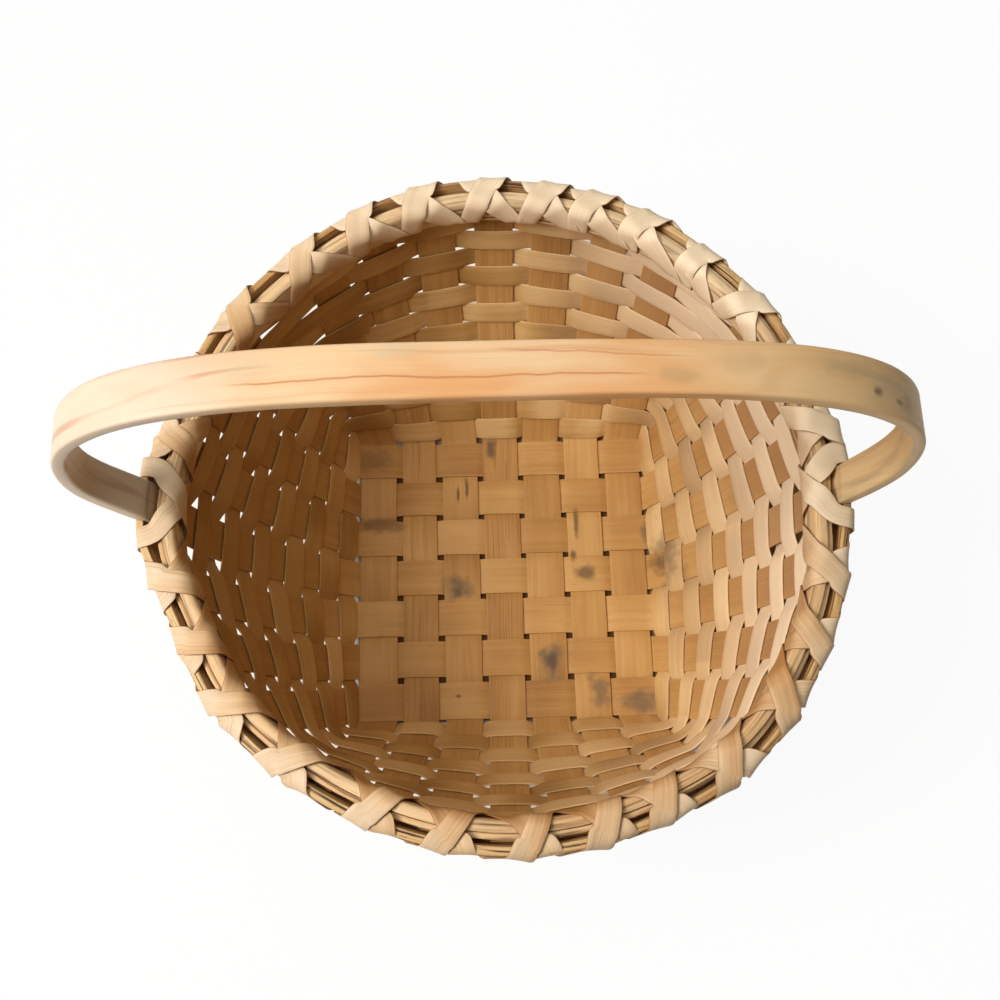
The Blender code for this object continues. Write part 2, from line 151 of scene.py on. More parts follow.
@dataclass(frozen=True)
class RimShape:
    """The rim's hand-bent oval, from the middle of the stakes, with its swells by angle."""

    radius: float = 156.4
    oval: float = 1.8
    shift_x: float = -2.4
    mid_z: float = 141.5
    lean: float = math.radians(10.0)
    half_height: float = 7.5
    stake_face: float = 0.5
    clear: float = 0.35
    strip_thick: float = 2.6
    inner_thick: float = 5.4
    inner_round: float = 2.2
    stake_slot: float = 1.2
    leg_slot: float = 4.2
    leg_slot_reach: float = 9.0
    outer_thick: float = 3.8
    outer_round: float = 1.4
    swells: tuple = ((180.0, 2.4, 13.0), (-5.0, -3.6, 10.0), (163.0, -2.2, 10.0), (-171.0, 2.0, 10.0),
                     (-155.0, -2.0, 10.0), (-147.0, 1.6, 9.0), (-115.0, -2.2, 22.0), (-49.0, 3.4, 14.0),
                     (18.0, -3.4, 12.0), (45.0, -3.0, 16.0), (80.0, -1.6, 16.0), (130.0, -3.6, 20.0))

    @property
    def strip_out(self) -> float:
        """How far out the inner strip's outer face is."""
        return -self.stake_face - self.clear

    @property
    def inner_out(self) -> float:
        """How far out the inner hoop's outer face is."""
        return self.strip_out - self.strip_thick - self.clear

    @property
    def outer_in(self) -> float:
        """How far out the outer hoop's inner face is at a leg."""
        return self.stake_face + self.leg_slot

    def squeezed(self, angle: Array, out: Array) -> Array:
        """Distances out through the rim, where the outer hoop closes in on the stakes away from the legs.

        Args:
            angle: Angles round the rim.
            out: Distances outward from the middle of the stakes, as they are at a leg.

        Returns:
            The distances at those angles.
        """
        shut = self.leg_slot - self.stake_slot
        for side in (Side.RIGHT, Side.LEFT):
            shut = shut * (1 - np.exp(-((degrees_off(angle, side.middle) / self.leg_slot_reach) ** 4)))
        return out - shut * np.clip((out - self.stake_face) / self.leg_slot, 0.0, 1.0)

    def points(self, angle: Array, out: Array, height: Array) -> Array:
        """Points of the rim.

        Args:
            angle: Angles round the rim.
            out: Distances outward from the middle of the stakes.
            height: Heights along the leaning rim from its middle.

        Returns:
            One point a row, in millimetres.
        """
        angle = np.asarray(angle, float)
        lean_x, lean_z = math.cos(self.lean), math.sin(self.lean)
        reach = self.radius + humps(angle, self.swells) + out * lean_x + height * lean_z
        flat = np.stack([self.shift_x + (reach - self.oval) * np.cos(angle),
                         (reach + self.oval) * np.sin(angle)], axis=-1)
        up = self.mid_z + height * lean_x - out * lean_z
        return np.concatenate([flat, np.broadcast_to(up, angle.shape)[..., None]], axis=-1)

    def along(self, angle: float, small: float = 1e-3) -> Array:
        """The direction along the rim at an angle, counter-clockwise from above."""
        return unit(self.points(angle + small, 0.0, 0.0) - self.points(angle - small, 0.0, 0.0))


@dataclass(frozen=True)
class WallShape:
    """The wall between the bottom and the rim: its strips, its rows and the arc it bulges along."""

    rim: RimShape = RimShape()
    strips: int = 7
    strip_width: float = 20.2
    strip_thick: float = 1.0
    pitch: float = 23.4
    clear: float = 0.4
    margin: float = 0.3
    rows: int = 12
    weaver_thick: float = 0.8
    weaver_clear: float = 0.35
    row_gap: float = 0.9
    bulge: float = 12.0
    first_row: float = 3.6
    stake_step: float = math.radians(11.5)
    lash_stack: float = 2.2
    lash_to_wall: float = 0.7
    tail_rows: int = 4
    tail_end_thick: float = 1.4

    @property
    def half_count(self) -> int:
        """Strips on each side of the middle one."""
        return self.strips // 2

    @property
    def base_half(self) -> float:
        """Half the width of the bottom."""
        return self.half_count * self.pitch + self.strip_width / 2 + self.margin

    @property
    def top_height(self) -> float:
        """Height of the top row's upper edge from the rim's middle, below the lashing."""
        return -self.rim.half_height - self.lash_stack - self.lash_to_wall

    @property
    def levels(self) -> tuple[float, float]:
        """Heights of the middle of a strip where it passes under and over another."""
        low = self.strip_thick / 2
        return low, low + self.strip_thick + self.clear

    @property
    def weaver_offset(self) -> float:
        """Distance of a weaver's middle from a stake's middle."""
        return self.strip_thick / 2 + self.weaver_clear + self.weaver_thick / 2

    def fractions(self) -> tuple[Array, Array]:
        """The arc that the wall bulges along.

        Returns:
            Shares of the way out and of the way up at each row's edges.
        """
        lean, top = self.rim.lean, self.top_height
        span = self.rim.radius - self.base_half + top * math.sin(lean)
        rise = self.rim.mid_z + top * math.cos(lean) - self.levels[0]
        chord = math.hypot(span, rise)
        radius = (chord ** 2 / 4 + self.bulge ** 2) / (2 * self.bulge)
        half = math.asin(chord / 2 / radius)
        length = 2 * half * radius
        way = self.first_row + (length - self.first_row) * np.arange(self.rows + 1) / self.rows
        turn = (2 * way / length - 1) * half
        forward = chord / 2 + radius * np.sin(turn)
        sag = radius * np.cos(turn) - (radius - self.bulge)
        return (forward * span + sag * rise) / chord / span, (forward * rise - sag * span) / chord / rise

    def tail(self, row: int, thick: float) -> float:
        """Thickness of the handle's pared tail at the upper edge of a row, from its full thickness."""
        return thick + (self.tail_end_thick - thick) * min((self.rows - row) / self.tail_rows, 1.0)


class Stake:
    """One strip's rise up one wall, with its points and the ways across it at each row's edge."""

    def __init__(self, wall: WallShape, side: Side, place: int) -> None:
        """Lays out the stake.

        Args:
            wall: The wall that it belongs to.
            side: The side of the bottom that it rises from.
            place: Its place along the side, from -3 to 3, the way round the basket.
        """
        self.wall, self.side, self.place = wall, side, place
        self.angle = side.middle + place * wall.stake_step
        self.across_rim = wall.rim.along(self.angle)
        foot = side.facing * wall.base_half + side.along * (place * wall.pitch)
        head = wall.rim.points(self.angle, 0.0, wall.top_height)
        out, up = (share[:, None] for share in wall.fractions())
        self.points = foot + (head - foot) * out
        self.points[:, 2:] = wall.levels[0] + (head[2] - wall.levels[0]) * up
        self.across = unit(side.along * (1 - out) + self.across_rim * out)

    def weaver_inside(self, row: int) -> bool:
        """Whether a row, counted from 1, passes this stake on the inside."""
        strip = self.wall.strips - (self.place + self.wall.half_count)
        return ((strip + row) % 2 == 0) == self.side.has_leg

    def facet(self, row: int, edge: float, past: float) -> tuple[Array, Array, Array]:
        """The line where a row crosses the stake.

        Args:
            row: The row, counted from 1.
            edge: Which edge of the stake, from -1 to 1, with 0 in its middle.
            past: How far past the edge.

        Returns:
            The line's lower end, its upper end and the outward direction.
        """
        reach = edge * (self.wall.strip_width / 2 + past)
        below, above = self.points[row - 1], self.points[row]
        sides = self.across[row - 1], self.across[row]
        return (below + reach * sides[0], above + reach * sides[1],
                unit(np.cross(sides[0] + sides[1], above - below)))


# Routes and bars


@dataclass
class Route:
    """Stations that a bar is bent along: its points, the ways across it, its widths and thicknesses.

    The tone darkens it station by station, the streaks and the seed set its grain, and the wedge is how
    much thicker it is at one edge.
    """

    points: Array
    across: Array
    width: Array
    thick: Array
    closed: bool = False
    tone: Array | None = None
    streaks: float = 0.3
    seed: float = 0.0
    wedge: float = 0.0

    def looped(self, values: Array) -> Array:
        """Values at the stations, with the first once more at the end of a closed route."""
        return np.concatenate([values, values[:1]]) if self.closed else values

    def lengths(self) -> Array:
        """How far along the route each station is, with the whole length last on a closed route."""
        return way_along(self.looped(self.points))

    def stepped(self, step: float) -> Route:
        """Spaces the stations evenly.

        Args:
            step: The distance between them.

        Returns:
            The same route with a station at each step.
        """
        way = self.lengths()
        count = int(round(way[-1] / step))
        at = np.linspace(0.0, way[-1], count + 1)[: count if self.closed else count + 1]
        names = ("points", "across", "width", "thick")
        runs = [self.looped(getattr(self, name)) for name in names]
        even = [np.apply_along_axis(lambda run: np.interp(at, way, run), 0, values) for values in runs]
        return replace(self, **dict(zip(names, even)))

    def eased(self, reach: float) -> Route:
        """The same route with its corners rounded, over a reach in stations."""
        points, across, width = (eased(values, reach, self.closed)
                                 for values in (self.points, self.across, self.width))
        return replace(self, points=points, across=unit(across), width=width)

    def tops(self) -> Array:
        """The direction of the bar's top face at each station."""
        ways = ways_round(self.points) if self.closed else unit(np.gradient(self.points, axis=0))
        return unit(np.cross(ways, self.across))


def read(items: bpy.types.bpy_prop_collection, name: str, each: int = 1, kind: type = float) -> Array:
    """Reads a value of every point, corner or face of a mesh, with so many numbers in each."""
    values = np.empty(len(items) * each, kind)
    items.foreach_get(name, values)
    return values.reshape(-1, each) if each > 1 else values


@dataclass(frozen=True)
class Section:
    """A bar's section: its size, how round its upper and lower edges are, and the cuts across it."""

    width: float
    thick: float
    top_round: float
    foot_round: float
    segments: int = 2
    cuts: int = 3
    near: float = 1e-3
    # Where the grain of the underside starts, away from that of the top
    underside: float = 40.0

    def pick_edges(self, bar: Piece, wanted: str) -> None:
        """Selects edges of the straight bar in edit mode.

        Args:
            bar: The bar, in edit mode.
            wanted: "across" for edges that run across it, "top" or "foot" for its long corner edges.
        """
        bpy.ops.mesh.select_all(action="DESELECT")
        mesh = bmesh.from_edit_mesh(bar.data)
        for edge in mesh.edges:
            a, b = (corner.co for corner in edge.verts)
            runs_long = abs(a.x - b.x) > 0.5
            at_side = abs(abs(a.y) - self.width / 2) < self.near
            if wanted == "across":
                edge.select = not runs_long and abs(a.y - b.y) > self.near
            else:
                at_face = abs(abs(a.z) - self.thick / 2) < self.near
                edge.select = runs_long and at_side and at_face and (a.z > 0) == (wanted == "top")
        bmesh.update_edit_mesh(bar.data)

    def straight_bar(self, name: str, steps: int) -> Piece:
        """Models the bar straight, one unit of length for each step of its route.

        Args:
            name: The piece's name.
            steps: How many steps long it is.

        Returns:
            An open tube along X, with its top face up.
        """
        bpy.ops.object.select_all(action="DESELECT")
        bpy.ops.mesh.primitive_cube_add(size=1.0, location=(0.5, 0.0, 0.0))
        bar = bpy.context.object
        bar.name = bar.data.name = name
        bar.scale = (1.0, self.width, self.thick)
        bpy.ops.object.transform_apply(location=True, rotation=True, scale=True)
        bpy.ops.object.mode_set(mode="EDIT")
        bpy.ops.mesh.select_mode(type="FACE")
        mesh = bmesh.from_edit_mesh(bar.data)
        for face in mesh.faces:
            face.select = abs(face.normal.x) > 0.9
        bmesh.update_edit_mesh(bar.data)
        bpy.ops.mesh.delete(type="ONLY_FACE")
        bpy.ops.mesh.select_mode(type="EDGE")
        self.pick_edges(bar, "across")
        bpy.ops.mesh.subdivide(number_cuts=self.cuts)
        for wanted, size in (("top", self.top_round), ("foot", self.foot_round)):
            self.pick_edges(bar, wanted)
            bpy.ops.mesh.bevel(offset=size, segments=self.segments, affect="EDGES", clamp_overlap=True)
        bpy.ops.object.mode_set(mode="OBJECT")
        array = bar.modifiers.new("lengths", "ARRAY")
        array.count = steps
        array.use_relative_offset = False
        array.use_constant_offset = True
        array.constant_offset_displace = (1.0, 0.0, 0.0)
        array.use_merge_vertices = True
        array.merge_threshold = 1e-4
        bpy.ops.object.modifier_apply(modifier=array.name)
        return bar

    def bend(self, bar: Piece, route: Route) -> None:
        """Bends the straight bar along a route, with its grain mapped in metres along and across it.

        Args:
            bar: The straight bar.
            route: The route, with as many steps as the bar.
        """
        mesh = bar.data
        straight = read(mesh.vertices, "co", 3)
        long, side, lift = straight.T
        station = np.rint(long).astype(int)
        at = station % len(route.points)
        wide = side * (route.width / self.width)[at]
        wedge = route.wedge * (side / self.width + 0.5) ** 3
        high = lift * (route.thick / self.thick)[at] + np.where(lift > 0, wedge, 0.0)
        points = route.points[at] + route.across[at] * wide[:, None] + route.tops()[at] * high[:, None]

        loops = read(mesh.loops, "vertex_index", kind=int)
        facing_down = read(mesh.polygons, "normal", 3)[:, 2] < -0.5
        under = np.repeat(facing_down, read(mesh.polygons, "loop_total", kind=int))
        round_edge = np.sign(side[loops]) * (self.thick / 2 - lift[loops])
        place_y = np.where(under, self.underside - side[loops], side[loops] + round_edge)
        grain = np.stack([route.lengths()[station[loops]], place_y], axis=1)
        mesh.uv_layers["UVMap"].data.foreach_set("uv", (grain * MM).ravel())

        mesh.vertices.foreach_set("co", (points * MM).ravel())
        tones = np.zeros(len(route.points)) if route.tone is None else route.tone
        marks = {"tone": tones[at], "streaks": np.full(len(at), route.streaks),
                 "seed": np.full(len(at), route.seed), "rimward": np.abs(side) / (self.width / 2)}
        for name, values in marks.items():
            mesh.attributes.new(name, "FLOAT", "POINT").data.foreach_set("value", values.astype(np.float32))
        mesh.update()

    def bent(self, name: str, route: Route) -> Piece:
        """Models one whole piece.

        Args:
            name: The piece's name.
            route: The route that it follows.

        Returns:
            The finished piece, closed and with its faces outward.
        """
        bar = self.straight_bar(name, len(route.points) - (not route.closed))
        self.bend(bar, route)
        bpy.ops.object.mode_set(mode="EDIT")
        bpy.ops.mesh.select_all(action="SELECT")
        bpy.ops.mesh.remove_doubles(threshold=1e-6)
        if not route.closed:
            bpy.ops.mesh.select_all(action="DESELECT")
            bpy.ops.mesh.select_non_manifold(extend=False)
            bpy.ops.mesh.fill_holes(sides=0)
            bpy.ops.mesh.select_all(action="SELECT")
        bpy.ops.mesh.normals_make_consistent(inside=False)
        bpy.ops.object.mode_set(mode="OBJECT")
        bpy.ops.object.shade_smooth_by_angle(angle=math.radians(50.0))
        return bar


# Shader sums


class Value:
    """A number in a material. Python's own sums on it add Math nodes."""

    def __init__(self, graph: Graph, socket: Socket) -> None:
        """Wraps a socket of the graph."""
        self.graph, self.socket = graph, socket

    def sum(self, operation: str, *others: Number) -> Value:
        """The result of a Math node on this value and the others."""
        return self.graph.value("ShaderNodeMath", {"operation": operation}, dict(enumerate((self, *others))))

    def __add__(self, other: Number) -> Value:
        """This plus the other."""
        return self.sum("ADD", other)

    def __sub__(self, other: Number) -> Value:
        """This less the other."""
        return self.sum("SUBTRACT", other)

    def __rsub__(self, other: float) -> Value:
        """The other less this."""
        return self * -1.0 + other

    def __mul__(self, other: Number) -> Value:
        """This times the other."""
        return self.sum("MULTIPLY", other)

    def __truediv__(self, other: Number) -> Value:
        """This over the other."""
        return self.sum("DIVIDE", other)

    def __pow__(self, other: Number) -> Value:
        """This to the power of the other."""
        return self.sum("POWER", other)

    def __abs__(self) -> Value:
        """This without its sign."""
        return self.sum("ABSOLUTE")

    __radd__ = __add__
    __rmul__ = __mul__

    def sine(self) -> Value:
        """The sine of this, in radians."""
        return self.sum("SINE")

    def most(self, other: Number) -> Value:
        """The larger of this and the other."""
        return self.sum("MAXIMUM", other)

    def ramp(self, low: float, high: float) -> Value:
        """A smooth step up, or down where low is the larger.

        Args:
            low: Where it is 0.
            high: Where it is 1.

        Returns:
            A number from 0 to 1.
        """
        if low > high:
            return 1.0 - self.ramp(high, low)
        settings = {"interpolation_type": "SMOOTHSTEP", "clamp": True}
        return self.graph.value("ShaderNodeMapRange", settings,
                                {"Value": self, "From Min": low, "From Max": high})


@dataclass
class Graph:
    """The nodes of one material, or of the world."""

    tree: bpy.types.NodeTree

    @staticmethod
    def fresh(owner: bpy.types.Material | bpy.types.World) -> Graph:
        """Turns on the nodes of a material or a world, and clears them."""
        owner.use_nodes = True
        owner.node_tree.nodes.clear()
        return Graph(owner.node_tree)

    def close(self, kind: str, last: bpy.types.Node) -> None:
        """Links the last shader to the output of a "Material" or a "World"."""
        self.tree.links.new(last.outputs[0], self.node(f"ShaderNodeOutput{kind}").inputs[0])

    def node(self, kind: str, settings: dict | None = None, inputs: dict | None = None) -> bpy.types.Node:
        """Adds a node.

        Args:
            kind: The node's type.
            settings: Its own settings, which are set first.
            inputs: What goes into its sockets, by name or place: a Value, a socket, a number or a tuple.

        Returns:
            The new node.
        """
        node = self.tree.nodes.new(kind)
        for name, setting in (settings or {}).items():
            setattr(node, name, setting)
        for key, given in (inputs or {}).items():
            given = given.socket if isinstance(given, Value) else given
            if isinstance(given, Socket):
                self.tree.links.new(given, node.inputs[key])
            else:
                node.inputs[key].default_value = given
        return node

    def value(self, kind: str, settings: dict | None = None, inputs: dict | None = None,
              output: int | str = 0) -> Value:
        """Adds a node and wraps one of its outputs."""
        return Value(self, self.node(kind, settings, inputs).outputs[output])

    def parts(self, vector: Socket) -> tuple[Value, Value, Value]:
        """The three numbers of a vector."""
        split = self.node("ShaderNodeSeparateXYZ", None, {0: vector})
        return tuple(Value(self, output) for output in split.outputs)

    def grain_place(self) -> tuple[Value, Value]:
        """How far along and across the piece a point is, in metres."""
        return self.parts(self.node("ShaderNodeUVMap", {"uv_map": "UVMap"}).outputs[0])[:2]

    def place(self) -> tuple[Value, Value, Value]:
        """Where a point is in the basket, in metres."""
        return self.parts(self.node("ShaderNodeTexCoord").outputs["Object"])

    def attribute(self, name: str) -> Value:
        """A number that was written for each point of the mesh."""
        return self.value("ShaderNodeAttribute", {"attribute_name": name}, None, "Fac")

    def noise(self, x: Number, y: Number, z: Number, detail: float) -> Value:
        """Noise around 0.5, with features about one unit across."""
        spot = self.node("ShaderNodeCombineXYZ", None, {0: x, 1: y, 2: z}).outputs[0]
        return self.value("ShaderNodeTexNoise", None,
                          {"Vector": spot, "Scale": 1.0, "Detail": detail, "Roughness": 0.5})

    def mix(self, share: Number, first: Socket | Colour, second: Socket | Colour, how: str = "MIX") -> Socket:
        """One colour laid over another by a share."""
        settings = {"data_type": "RGBA", "blend_type": how, "clamp_factor": True}
        return self.node("ShaderNodeMix", settings, {0: share, 6: first, 7: second}).outputs[2]


def tone(red: int, green: int, blue: int) -> Colour:
    """A colour as it looks on a screen, from 0 to 255, as the linear colour a shader takes."""
    parts = (part / 255.0 for part in (red, green, blue))
    return (*(part / 12.92 if part <= 0.04045 else ((part + 0.055) / 1.055) ** 2.4 for part in parts), 1.0)


# Finishes


@dataclass(frozen=True)
class Grain:
    """A noise in the wood: its features a metre along and across the grain, its shift and its detail."""

    along: float
    across: float
    shift: float = 0.0
    detail: float = 2.0

    def laid(self, graph: Graph, along: Value, across: Value, seed: Number = 0.0) -> Value:
        """The noise at each point.

        Args:
            graph: The material's nodes.
            along: How far along the piece the point is.
            across: How far across it the point is.
            seed: The piece's own shift.

        Returns:
            A number around 0.5.
        """
        return graph.noise(along * self.along, across * self.across, seed + self.shift, self.detail)


@dataclass(frozen=True)
class Stain:
    """A mark in the wood: where it is, how far it reaches along each axis, its colour and its strength."""

    at: Triple
    reach: Triple
    colour: Colour
    strength: float

    def laid_on(self, graph: Graph, place: tuple[Value, ...], ragged: Value, colour: Socket) -> Socket:
        """The colour with this mark on it.

        Args:
            graph: The material's nodes.
            place: The point in the basket.
            ragged: A noise that makes the mark's edge uneven.
            colour: The colour under the mark.

        Returns:
            The new colour.
        """
        terms = [(axis - middle * MM) / (reach * MM)
                 for axis, middle, reach in zip(place, self.at, self.reach)]
        off = (terms[0] * terms[0] + terms[1] * terms[1] + terms[2] * terms[2]) ** 0.5
        uneven = off + (ragged - 0.5) * 1.6
        return graph.mix(uneven.ramp(1.25, 0.25) * self.strength, colour, self.colour)


@dataclass(frozen=True, kw_only=True)
class Wood:
    """Bare wood with a grain along the piece and marks in it. Each kind of wood has its own layers."""

    name: str
    pale: Colour
    fibre_shade: Colour = (0.72, 0.68, 0.62, 1.0)
    stains: tuple[Stain, ...] = ()
    ragged: float = 160.0
    roughness: float = 0.62
    specular: float = 0.3
    bump: float = 0.25
    bump_depth: float = 0.0006

    def stained(self, graph: Graph, place: tuple[Value, ...], colour: Socket) -> Socket:
        """Lays the marks on.

        Args:
            graph: The material's nodes.
            place: The point in the basket.
            colour: The colour under the marks.

        Returns:
            The new colour.
        """
        ragged = graph.noise(*(axis * self.ragged for axis in place), 3.0)
        for stain in self.stains:
            colour = stain.laid_on(graph, place, ragged, colour)
        return colour

    def layers(self, graph: Graph) -> tuple[Socket, Value, Value]:
        """Lays this wood's own layers.

        Args:
            graph: The material's nodes.

        Returns:
            The colour, the noise that the roughness follows and the height of the surface.
        """
        raise NotImplementedError

    def material(self) -> bpy.types.Material:
        """Makes the material.

        Returns:
            A Principled shader with this wood's colour, roughness and bumps.
        """
        made = bpy.data.materials.new(self.name)
        graph = Graph.fresh(made)
        colour, uneven, height = self.layers(graph)
        bump = graph.node("ShaderNodeBump", None,
                          {"Strength": self.bump, "Distance": self.bump_depth, "Height": height})
        graph.close("Material", graph.node("ShaderNodeBsdfPrincipled", None, {
            "Base Color": colour, "Roughness": (uneven - 0.5) * 0.2 + self.roughness,
            "Specular IOR Level": self.specular, "Normal": bump.outputs[0]}))
        return made


@dataclass(frozen=True, kw_only=True)
class SplintFinish(Wood):
    """Split ash or oak: silky, matte, with long fibres, fine dark pores and slow changes of colour."""

    middle: Colour
    dark: Colour
    vein: Colour
    # The edge tone is painted light: a pale painted highlight on the stakes and weavers, a dark painted
    # shadow line on the lashing
    edge: Colour
    fibre: float = 0.5
    vein_share: float = 0.35
    painted_edge_share: float = 0.5
    band_scale: float = 900.0
    painted_edge_from: float = 0.93
    # Painted light and shade towards the lit side and upwards: the weavers and the lashing paler, the stakes
    # greyer
    painted_light: Colour = (1.0, 1.0, 1.0, 1.0)
    painted_light_share: float = 0.0
    painted_light_way: tuple[float, float] = (1.0, 0.0)
    # Painted shade on the left wall, whose inside is in shadow: a darker brown mixed in towards the left
    painted_shade: Colour = (1.0, 1.0, 1.0, 1.0)
    painted_shade_share: float = 0.0

    SWAY = Grain(22.0, 40.0, 0.0, 1.0)
    GRAINS = (Grain(18.0, 2400.0), Grain(9.0, 420.0, 5.0, 3.0), Grain(14.0, 60.0, 11.0),
              Grain(160.0, 2600.0, 3.0, 1.0), Grain(26.0, 160.0, 23.0))
    # Stretches in metres, across the basket or up from the floor
    PAINTED_LIGHT_ACROSS = (-0.01, 0.12)
    PAINTED_LIGHT_UP = (0.02, 0.13)
    OFF_FLOOR = (0.003, 0.012)
    PAINTED_SHADE_ACROSS = (-0.07, -0.125)

    def layers(self, graph: Graph) -> tuple[Socket, Value, Value]:
        """Lays fibres, dark bands, painted light and shade, painted shade on the left wall, marks and painted
        edge highlights and shade lines over each other, in that order.

        Args:
            graph: The material's nodes.

        Returns:
            The colour, the noise that the roughness follows and the height of the surface.
        """
        along, across = graph.grain_place()
        x, y, z = graph.place()
        seed = graph.attribute("seed")
        lane = across + (self.SWAY.laid(graph, along, across, seed) - 0.5) * 0.004
        fine, broad, patch, pores, run = (grain.laid(graph, along, lane, seed) for grain in self.GRAINS)
        bands = Grain(5.0, self.band_scale, 17.0).laid(graph, along, lane, seed)

        warm = graph.attribute("tone") * 0.3 + 0.5 + (patch - 0.5) * 0.8 + (broad - 0.5) * self.fibre
        colour = graph.mix(warm.ramp(0.1, 0.62), self.pale, self.middle)
        colour = graph.mix(warm.ramp(0.45, 1.15), colour, self.dark)
        shown = run.ramp(0.38, 0.6) * graph.attribute("streaks")
        colour = graph.mix(bands.ramp(0.47, 0.66) * shown * self.vein_share, colour, self.vein)
        colour = graph.mix(bands.ramp(0.46, 0.36) * shown * 0.5, colour, self.pale)
        colour = graph.mix((fine - 0.5) * 0.9 * self.fibre + 0.5, colour, self.fibre_shade, "MULTIPLY")
        colour = graph.mix(pores.ramp(0.66, 0.78) * 0.35, colour, self.vein)

        # Painted light and shade: the mix grows towards the lit side and up the walls, and is off on the
        # bottom
        way = x * self.painted_light_way[0] + y * self.painted_light_way[1]
        painted_light_mask = way.ramp(*self.PAINTED_LIGHT_ACROSS) * (z.ramp(*self.PAINTED_LIGHT_UP) * 0.8 + 0.2)
        colour = graph.mix(painted_light_mask * z.ramp(*self.OFF_FLOOR) * self.painted_light_share, colour, self.painted_light)
        # Painted shade: the left wall darker
        colour = graph.mix(x.ramp(*self.PAINTED_SHADE_ACROSS) * self.painted_shade_share, colour, self.painted_shade)
        colour = self.stained(graph, (x, y, z), colour)
        # Painted edges along the bar's long edges: highlights on the stakes and weavers, shadow lines on the
        # lashing
        rim = graph.attribute("rimward").ramp(self.painted_edge_from, 0.5 + self.painted_edge_from / 2)
        colour = graph.mix(rim * self.painted_edge_share, colour, self.edge)
        return colour, broad, fine * 0.5 + broad * 0.35 - pores.ramp(0.62, 0.76) * 0.5


@dataclass(frozen=True, kw_only=True)
class HandleFinish(Wood):
    """Steam-bent ash, scraped and handled: pale, with wavy growth lines, peach streaks and grey scuffs."""

    peach: Colour
    tan: Colour
    bleached: Colour
    line: Colour
    grey: Colour
    # Long fine cracks: place across in metres, its change with x, the ends in x, and the strength
    cracks: tuple = ((0.0035, 0.012, -0.112, 0.056, 0.8), (-0.0072, 0.05, -0.012, 0.07, 0.5))
    crack_half: float = 0.0006
    crack_glow: float = 0.0035

    SWAY = Grain(9.0, 12.0)
    GRAINS = (Grain(25.0, 1800.0, 1.0), Grain(5.0, 260.0, 2.0, 3.0), Grain(13.0, 45.0, 3.0),
              Grain(17.0, 90.0, 6.0, 1.0))
    FIELD = Grain(6.0, 42.0, 4.0, 1.0)
    WORN = Grain(30.0, 130.0, 8.0, 3.0)
    # Stretches in metres from left to right
    TANNED = (0.02, 0.15)
    BLEACHED = (-0.07, -0.15)
    SCUFFED = (0.09, 0.16)
    LINED = (0.06, -0.03)

    def cracked(self, graph: Graph, along: Value, across: Value, x: Value, colour: Socket) -> Socket:
        """The colour with the long cracks in it.

        Args:
            graph: The material's nodes.
            along: How far along the handle the point is.
            across: How far across it the point is.
            x: How far right in the basket the point is.
            colour: The colour without them.

        Returns:
            The new colour.
        """
        for middle, slant, start, end, strength in self.cracks:
            wavy = (graph.noise(along * 34.0, 0.0, 31.0 + middle * 9000.0, 3.0) - 0.5) * 0.0045
            off = abs(across + wavy - x * slant - middle)
            shown = x.ramp(start, start + 0.02) * x.ramp(end, end - 0.02) * strength
            colour = graph.mix(off.ramp(self.crack_half, self.crack_half / 4) * shown, colour, self.line)
            colour = graph.mix(off.ramp(self.crack_glow, 0.0) * shown * 0.4, colour, self.peach)
        return colour

    def layers(self, graph: Graph) -> tuple[Socket, Value, Value]:
        """Lays patches, sun, growth lines, cracks, fibres and marks over each other, in that order.

        Args:
            graph: The material's nodes.

        Returns:
            The colour, the noise that the roughness follows and the height of the surface.
        """
        along, across = graph.grain_place()
        x, y, z = graph.place()
        lane = across + (self.SWAY.laid(graph, along, across) - 0.5) * 0.012
        fine, broad, patch, faint = (grain.laid(graph, along, lane) for grain in self.GRAINS)
        rings = ((self.FIELD.laid(graph, along, across) * 26.0 + lane * 300.0).sine() + 1.0) * 0.5
        worn = self.WORN.laid(graph, along, across).ramp(0.45, 0.7)

        colour = graph.mix(patch.ramp(0.35, 0.7), self.pale, self.peach)
        colour = graph.mix(x.ramp(*self.TANNED) * 0.8, colour, self.tan)
        colour = graph.mix(x.ramp(*self.BLEACHED) * 0.8, colour, self.bleached)
        colour = graph.mix(x.ramp(*self.SCUFFED) * worn * 0.6, colour, self.grey)
        shown = x.ramp(*self.LINED) * 0.3 + 0.15
        colour = graph.mix(rings.ramp(0.9, 1.0) * faint.ramp(0.42, 0.62) * shown, colour, self.line)
        colour = self.cracked(graph, along, across, x, colour)
        colour = graph.mix(broad.ramp(0.55, 0.75) * 0.3, colour, self.line)
        colour = graph.mix((fine - 0.5) * 0.5 + 0.35, colour, self.fibre_shade, "MULTIPLY")
        colour = self.stained(graph, (x, y, z), colour)
        return colour, patch, fine * 0.4 + broad * 0.4 + rings * 0.15


def bottom_stain(x: float, y: float, wide: float, deep: float, colour: Colour, strength: float) -> Stain:
    """A mark on the bottom, by its middle and its reach in millimetres."""
    return Stain((x, y, 2.0), (wide, deep, 6.0), colour, strength)


GREY_KNOT = tone(74, 56, 42)
BLUE_GREY = tone(108, 88, 66)
BROWN_MARK = tone(84, 52, 24)
SOOT = tone(66, 50, 34)
SCUFF = tone(202, 184, 150)
GREY_GREEN = tone(168, 142, 100)

